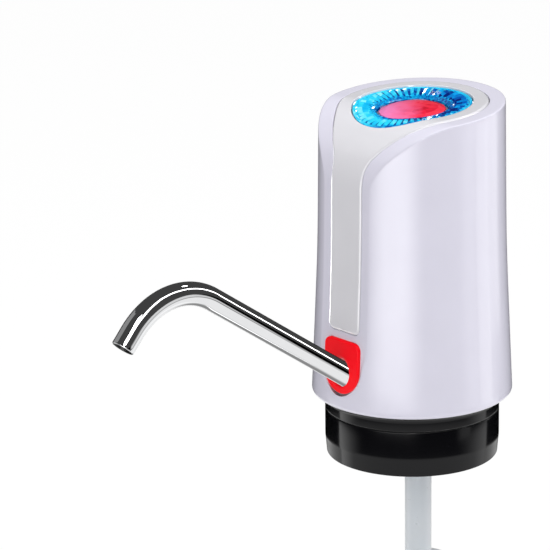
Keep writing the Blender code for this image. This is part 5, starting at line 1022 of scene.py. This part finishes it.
def hose_path(fine=1):
    """The hose: straight down, down the left, round, up the right, over the top and down
    again. It moves back along Y by one smooth step, so the last run lies behind."""
    low = HANK_TOP - HANK_RUN
    entry = HANK_TOP - HANK_RUN * 0.22
    first = HOSE_SHOWN - 2 * HOSE_R
    t = steps(0, 1, 8 * fine)
    lead = np.stack([-drawn_half(entry) * eased(t), first + (entry - first) * t], -1)
    a = steps(0, math.pi, 8 * fine)
    bottom = np.stack([-HANK_HALF * np.cos(a), low - HANK_HALF * np.sin(a)], -1)
    top = np.stack([HANK_HALF * np.cos(a), HANK_TOP + HANK_HALF * np.sin(a)], -1)

    def run(side, start, end, count):
        z = steps(start, end, count * fine)
        return np.stack([side * drawn_half(z), z], -1)

    hank = np.concatenate([[(0.0, HOSE_SHOWN), (0.0, first)], lead, run(-1, entry, low, 8), bottom,
                           run(1, low, HANK_TOP, 9), top, run(-1, HANK_TOP, low, 9),
                           [(-HANK_HALF, low - 2 * HOSE_R)]])
    walked = along(hank)
    begin = 1 + 16 * fine
    finish = begin + 17 * fine + 8 * fine // 3
    t = np.clip((walked - walked[begin]) / (walked[finish] - walked[begin]), 0, 1)
    hank = np.stack([hank[:, 0], HOSE_Y + HANK_STEP * eased(t), hank[:, 1]], -1)
    z = np.linspace(HOSE_TOP, HOSE_SHOWN, 20 * fine + 1)[:-1]
    return np.concatenate([np.stack([0 * z, HOSE_Y + 0 * z, z], -1), hank])


def suction_hose():
    """The hose's wall carried along its path, swelling a little over each barb."""
    path = hose_path(4)
    n = len(path) - 1
    z = path[:, 2]
    swell = SWELL * (0.5 + 0.5 * np.cos(TURN * (z - SWELL_Z) / BARB_PITCH))
    radius = np.where(z > SWELL_LOW, HOSE_R - SWELL + swell, HOSE_R)
    rings = [(0, HOSE_BORE), (0, radius[0] - HOSE_EDGE)]
    rings += [(k, radius[k]) for k in range(1, n)]
    rings += [(n, HOSE_R, -HOSE_EDGE), (n, HOSE_R - HOSE_EDGE), (n, HOSE_BORE + HOSE_EDGE),
              (n, HOSE_BORE, -HOSE_EDGE)]
    rings += [(k, HOSE_BORE) for k in range(n - 1, 0, -1)]
    return sweep(path, rings + rings[:1])


def hank_tie():
    """The soft band round the hank's waist: a rounded oblong outline with rounded edges."""
    waist = HANK_TOP - HANK_RUN / 2
    half_x = drawn_half(waist + TIE_HALF) + HOSE_R + 2 * TIE_GAP
    half_y, middle = HANK_STEP / 2 + HOSE_R + TIE_GAP, HOSE_Y + HANK_STEP / 2
    k = np.arange(96) * TURN / 96
    corners = [(0.0, -TIE_HALF), (TIE_WALL, -TIE_HALF), (TIE_WALL, TIE_HALF), (0.0, TIE_HALF)]
    section = rounded(corners, 0.5, 4)
    rows = []
    for grow, h in np.concatenate([section, section[:1]]):
        corner = HOSE_R + grow
        rows.append(np.stack([np.copysign(half_x - HOSE_R, np.cos(k)) + corner * np.cos(k),
                              middle + np.copysign(half_y - HOSE_R, np.sin(k)) + corner * np.sin(k),
                              waist + h + 0 * k], -1))
    return Shell().grid(rows, wrap=True)


# Camera, light and ground

# the camera: azimuth, elevation, distance, focal length in pixels, picture's width, the
# pump's place across it, and the height it aims at
AZIMUTH, ELEVATION, DISTANCE, FOCAL, WIDTH, PUMP_AT, AIM_Z = 47, 16.75, 1200.0, 3434.0, 550, 412, 64.0
# studio, in metres and degrees round the pump
WORLD_LEVEL, DARK_LEVEL, FLOOR_WHITE = 0.6, 0.06, 1.03
FLOOR_Z, FLOOR_HALF, LAMPS_Z = -0.215, 6.0, 0.06
DISC_EDGE, FAN_EDGE, FAN_FADE, FAN_SHARP = (0.52, 0.62), (0.78, 0.9), 45, 2
SHADE_AT, SHADE_EDGE, SHADE_DEPTH = (-0.15, 0.03), (0.08, 0.2), 0.7
# fans on the floor: azimuths of the fading and of the sharp side, light
FANS = [(-17, -62, 2.2), (106, 160, 1.2)]
# bright fields further out: distances and azimuths where each starts, is full, and ends; light
FIELDS = [((0.95, 1.05, 1.7, 1.9), (146, 152, 170, 178), 1.3),
          ((0.75, 0.8, 5.0, 6.0), (104, 116, 126, 131), 0.8)]
# lamps: azimuth, elevation, distance, width, height, power, whether reflections see it
LAMPS = {
    "rear_line": (159, 20, 1.2, 0.2, 1.0, 1.6, False),
    "right_fill": (118, 48, 0.42, 0.25, 0.25, 0.26, False),
    "front_fill": (24, 24, 1.0, 0.5, 0.5, 1.0, False),
    "top_strip": (70, 60, 1.2, 1.2, 0.15, 3.2, False),
    "top_fill": (250, 70, 1.2, 0.8, 0.8, 4.4, False),
    "sparkle": (186, 54, 1.2, 0.12, 0.12, 0.5, True),
}
# lamps for one piece alone: the piece, then as above
LINKED_LAMPS = {
    "side_band": ("housing", 140, -13, 0.7, 0.24, 0.17, 0.2),
    "hood_edge": ("hood", -105, -16, 0.6, 0.6, 0.15, 2.4),
    "glint": ("light_ring", 240, 16, 1.2, 0.17, 0.17, 0.9),
}
# ribbons that reflections see: azimuth, elevation and half width along each, and its light
RIBBON_REACH, RIBBON_CENTRE = 1.2, (0.0, -0.06, 0.07)
RIBBONS = {
    "spout_line": ([(162, -4, 3.4), (161, 16, 3.4), (155, 29, 3.6), (146, 39, 4), (128, 52, 4.5),
                    (106, 57, 5.5), (84, 50, 6.5), (66, 37, 8), (58, 26, 8)], 4.0),
    "edge_line": ([(50, -4, 4), (50, 24, 4), (48, 58, 5)], 5.5),
    "spout_haze": ([(-90, 12, 10), (-70, 30, 12), (-42, 47, 12)], 0.3),
}
# a card that reflections see: azimuth from and to, distance, height from and to, light
CARD, CARD_LIGHT, CARD_EDGE = (-12, 64, 0.5, -0.085, 0.1), 4.2, (0.12, 0.5)


def facing(azimuth, elevation):
    """Right, up and back axes of what looks at the pump. Azimuth 0 is in front, 90 on the right."""
    a, e = math.radians(azimuth), math.radians(elevation)
    back = np.array([math.sin(a) * math.cos(e), -math.cos(a) * math.cos(e), math.sin(e)])
    right = np.array([math.cos(a), math.sin(a), 0.0])
    return right, np.cross(back, right), back


def stand(obj, right, up, back, place):
    matrix = np.eye(4)
    matrix[:3] = np.column_stack([right, up, back, place])
    obj.matrix_world = Matrix(matrix.tolist())


def make_camera():
    """The photograph's viewpoint, turned so that the pump stands right of the middle."""
    right, up, back = facing(AZIMUTH, ELEVATION)
    turn = math.atan((PUMP_AT - WIDTH / 2) / FOCAL)
    look = -back * math.cos(turn) - right * math.sin(turn)
    data = bpy.data.cameras.new("camera")
    data.lens, data.sensor_width = FOCAL / WIDTH * 36, 36
    data.clip_start, data.clip_end = 0.01, 50
    camera = placed("camera", data)
    stand(camera, np.cross(look, up), up, -look, (np.array([0.0, 0.0, AIM_Z]) + back * DISTANCE) * MM)
    bpy.context.scene.camera = camera


def softbox(name, azimuth, elevation, distance, width, height, power, reflected=True):
    """A soft lamp; one that isn't reflected lights matt surfaces only."""
    data = bpy.data.lights.new(name, "AREA")
    data.shape, data.size, data.size_y, data.energy = "RECTANGLE", width, height, power
    lamp = placed(name, data)
    axes = facing(azimuth, elevation)
    stand(lamp, *axes, np.array([0, 0, LAMPS_Z]) + axes[2] * distance)
    lamp.visible_camera = False
    lamp.visible_glossy = reflected
    return lamp


def glow(name, seen_by, strength):
    """A stage material: light of a strength for the rays in seen_by, matt white for others."""
    stage = Finish(name, base_color=(0.9, 0.9, 0.9, 1), roughness=0.9, specular_ior_level=0.1)
    factor = 0.0
    for label, share in seen_by.items():
        factor = stage.maths("MAXIMUM", stage.add("LightPath", output=label) * share, factor)
    light = stage.add("Emission", {}, {"Strength": strength(stage)})
    mix = stage.add("MixShader", {}, {0: factor, 1: Wire(stage, stage.shader.outputs[0]), 2: light})
    stage.feed(stage.tree.nodes["Material Output"].inputs["Surface"], mix)
    return stage.look


def floor_strength(stage):
    """White for the camera. Reflections see a white disc with a shade on its left, and the
    fans and fields further out on black."""
    camera = stage.add("LightPath", output="Is Camera Ray")
    x, y = stage.metres("X"), stage.metres("Y")
    reach = stage.maths("SQRT", x * x + y * y)
    azimuth = stage.maths("ARCTAN2", x, y * -1.0) * (180 / math.pi)
    across, behind = x - SHADE_AT[0], y - SHADE_AT[1]
    shade = stage.maths("SQRT", across * across + behind * behind)
    painted = reach.falling(*DISC_EDGE) - shade.falling(*SHADE_EDGE) * SHADE_DEPTH
    for inner, outer, light in FANS:
        side = 1 if outer > inner else -1
        fan = (azimuth.falling(inner + FAN_FADE * side, inner)
               * azimuth.falling(outer, outer + FAN_SHARP * side) * reach.falling(*FAN_EDGE) * light)
        painted = stage.maths("MAXIMUM", painted, fan)
    for near, wide, light in FIELDS:
        field = light
        for value, (a, b, c, d) in ((reach, near), (azimuth, wide)):
            field = value.falling(b, a) * value.falling(c, d) * field
        painted = stage.maths("MAXIMUM", painted, field)
    return camera * (FLOOR_WHITE - painted) + painted


def card_strength(stage):
    """Light of a card by its own coordinate across: full in the middle, nothing at its edge."""
    across = stage.add("UVMap", {"uv_map": "across"})
    away = stage.maths("ABSOLUTE", stage.add("SeparateXYZ", {}, {0: across}) - 0.5)
    return away.falling(*CARD_EDGE) * CARD_LIGHT


def ribbon(line):
    """Two rows of points on a sphere, the edges of a strip. Each entry of its line is an
    azimuth, an elevation and half the strip's width, in degrees."""
    line = np.asarray(line, float)
    walk = np.linspace(0, len(line) - 1, 6 * len(line))
    a, e, half = (np.radians(np.interp(walk, np.arange(len(line)), column)) for column in line.T)
    way = np.stack([np.sin(a) * np.cos(e), -np.cos(a) * np.cos(e), np.sin(e)], -1)
    side = np.cross(way, unit(np.gradient(way, axis=0)))
    return [np.add(RIBBON_CENTRE, RIBBON_REACH * unit(way + side * np.tan(half * sign)[:, None]))
            for sign in (-1, 1)]


def stage_sheet(name, rows, look, only_reflected=True):
    """A stage mesh from rows of points in metres, with the share across it in a map of its own."""
    shell = Shell().grid(rows)
    mesh = bpy.data.meshes.new(name)
    mesh.from_pydata(shell.points[0], [], shell.faces)
    count = len(rows[0])
    corners = np.array(shell.faces).ravel() % count
    share = np.linspace(0, 1, count)[corners]
    mesh.uv_layers.new(name="across").data.foreach_set("uv", np.stack([share, 0 * share], -1).ravel())
    mesh.materials.append(look)
    obj = placed(name, mesh)
    if only_reflected:
        obj.visible_camera = obj.visible_diffuse = obj.visible_shadow = obj.visible_transmission = False


def make_world():
    """A pale sky: white for the camera, and nearly black for reflections."""
    world = bpy.data.worlds.new("studio")
    bpy.context.scene.world = world
    world.use_nodes = True
    sky = Nodes(world.node_tree)
    level = WORLD_LEVEL
    seen = {"Is Camera Ray": 1.0, "Is Transmission Ray": 0.9, "Is Glossy Ray": DARK_LEVEL}
    for label, value in seen.items():
        ray = sky.add("LightPath", output=label)
        level = sky.add("Mix", {}, {"Factor": ray, "A": level, "B": value}, output="Result")
    background = sky.tree.nodes["Background"]
    background.inputs["Color"].default_value = (1, 1, 1, 1)
    sky.feed(background.inputs["Strength"], level)


def make_studio(lit):
    """The world, the floor, what reflections see, and the lamps."""
    make_world()
    floor = glow("floor", {"Is Camera Ray": 0.9, "Is Glossy Ray": 1.0}, floor_strength)
    x = np.linspace(-FLOOR_HALF, FLOOR_HALF, 3)
    stage_sheet("floor", [np.stack([x, y + 0 * x, FLOOR_Z + 0 * x], -1) for y in x], floor, False)
    start, end, reach, *heights = CARD
    a = np.radians(np.linspace(start, end, 17))
    stage_sheet("card_front", [polar(reach, a, z) for z in heights],
                glow("card_front", {"Is Glossy Ray": 1.0}, card_strength))
    for name, (line, light) in RIBBONS.items():
        stage_sheet(name, ribbon(line), glow(name, {"Is Glossy Ray": 1.0}, lambda stage: light))
    for name, values in LAMPS.items():
        softbox(name, *values)
    for name, (key, *values) in LINKED_LAMPS.items():
        only = bpy.data.collections.new(name + "_only")
        only.objects.link(lit[key])
        softbox(name, *values).light_linking.receiver_collection = only


# Putting the pump together

# pieces made here: name, maker, body, material slot, the node it replaces, and its crease
# where it isn't 30 degrees
PIECES = [
    ("housing", housing_shell, "body", "white_abs", "housing_shell"),
    ("hood", hood_panel, "body", "panel_abs", "hood_panel"),
    ("outlet_plate", outlet_plate, "body", "red_abs", "spout_escutcheon"),
    ("light_ring", light_ring, "body", "blue_crystal", "crystal_ring", 3.0),
    ("jewel", button_jewel, "button", "red_jewel", "button_jewel", 3.0),
    ("spout", spout_tube, "spout", "chrome", "spout_tube", 50.0),
    ("collar", base_collar, "body", "black_abs", "base_collar"),
    ("base", base_plate, "body", "black_abs", "base_plate"),
    ("gasket", neck_gasket, "body", "grey_silicone", "neck_gasket", 50.0),
]
# nodes that keep the frame's own mesh, by their material slot
KEPT = {
    "white_abs": "button_carrier",
    "black_abs": "switch_plunger motor_end_cap",
    "inner_abs": "chassis spout_socket tact_switch pump_case pump_head",
    "black_rubber": "pump_diaphragm spout_o_ring",
    "silicone": "inlet_tube outlet_tube",
    "zinc_steel": "usb_socket motor_can motor_rotor battery_tab_bottom battery_tab_top board_screw_1 "
                  "board_screw_2 base_screw_1 base_screw_2 base_screw_3 chassis_screw_1 chassis_screw_2",
    "green_board": "control_board charge_board",
    "cell_wrap": "battery_cell",
    "white_diffuser": "light_guide",
    "led": "led_1 led_2 led_3 led_4 led_5 led_6",
    "red_lead": "battery_lead_red motor_lead_red",
    "black_lead": "battery_lead_black motor_lead_black",
}


def main():
    make_camera()
    tie = piece("tie", hank_tie(), "body", "black_rubber", ["hank_tie"])
    hose = piece("hose", suction_hose(), "body", "silicone", ["hose_on_barb", "suction_hose", "hose_hank"])
    (hose_path(1) * MM).tolist()
    made = {name: piece(name, make(), body, slot, [node], *crease)
            for name, make, body, slot, node, *crease in PIECES}
    for slot, names in KEPT.items():
        for name in names.split():
            frame["nodes"][name].material_slots[0].material = LOOKS[slot]
    # the chrome and the gloss mirror the studio alone
    for obj in bpy.context.scene.objects:
        obj.visible_glossy = False
    make_studio(made)
    bpy.context.scene.view_settings.view_transform = "Standard"


main()
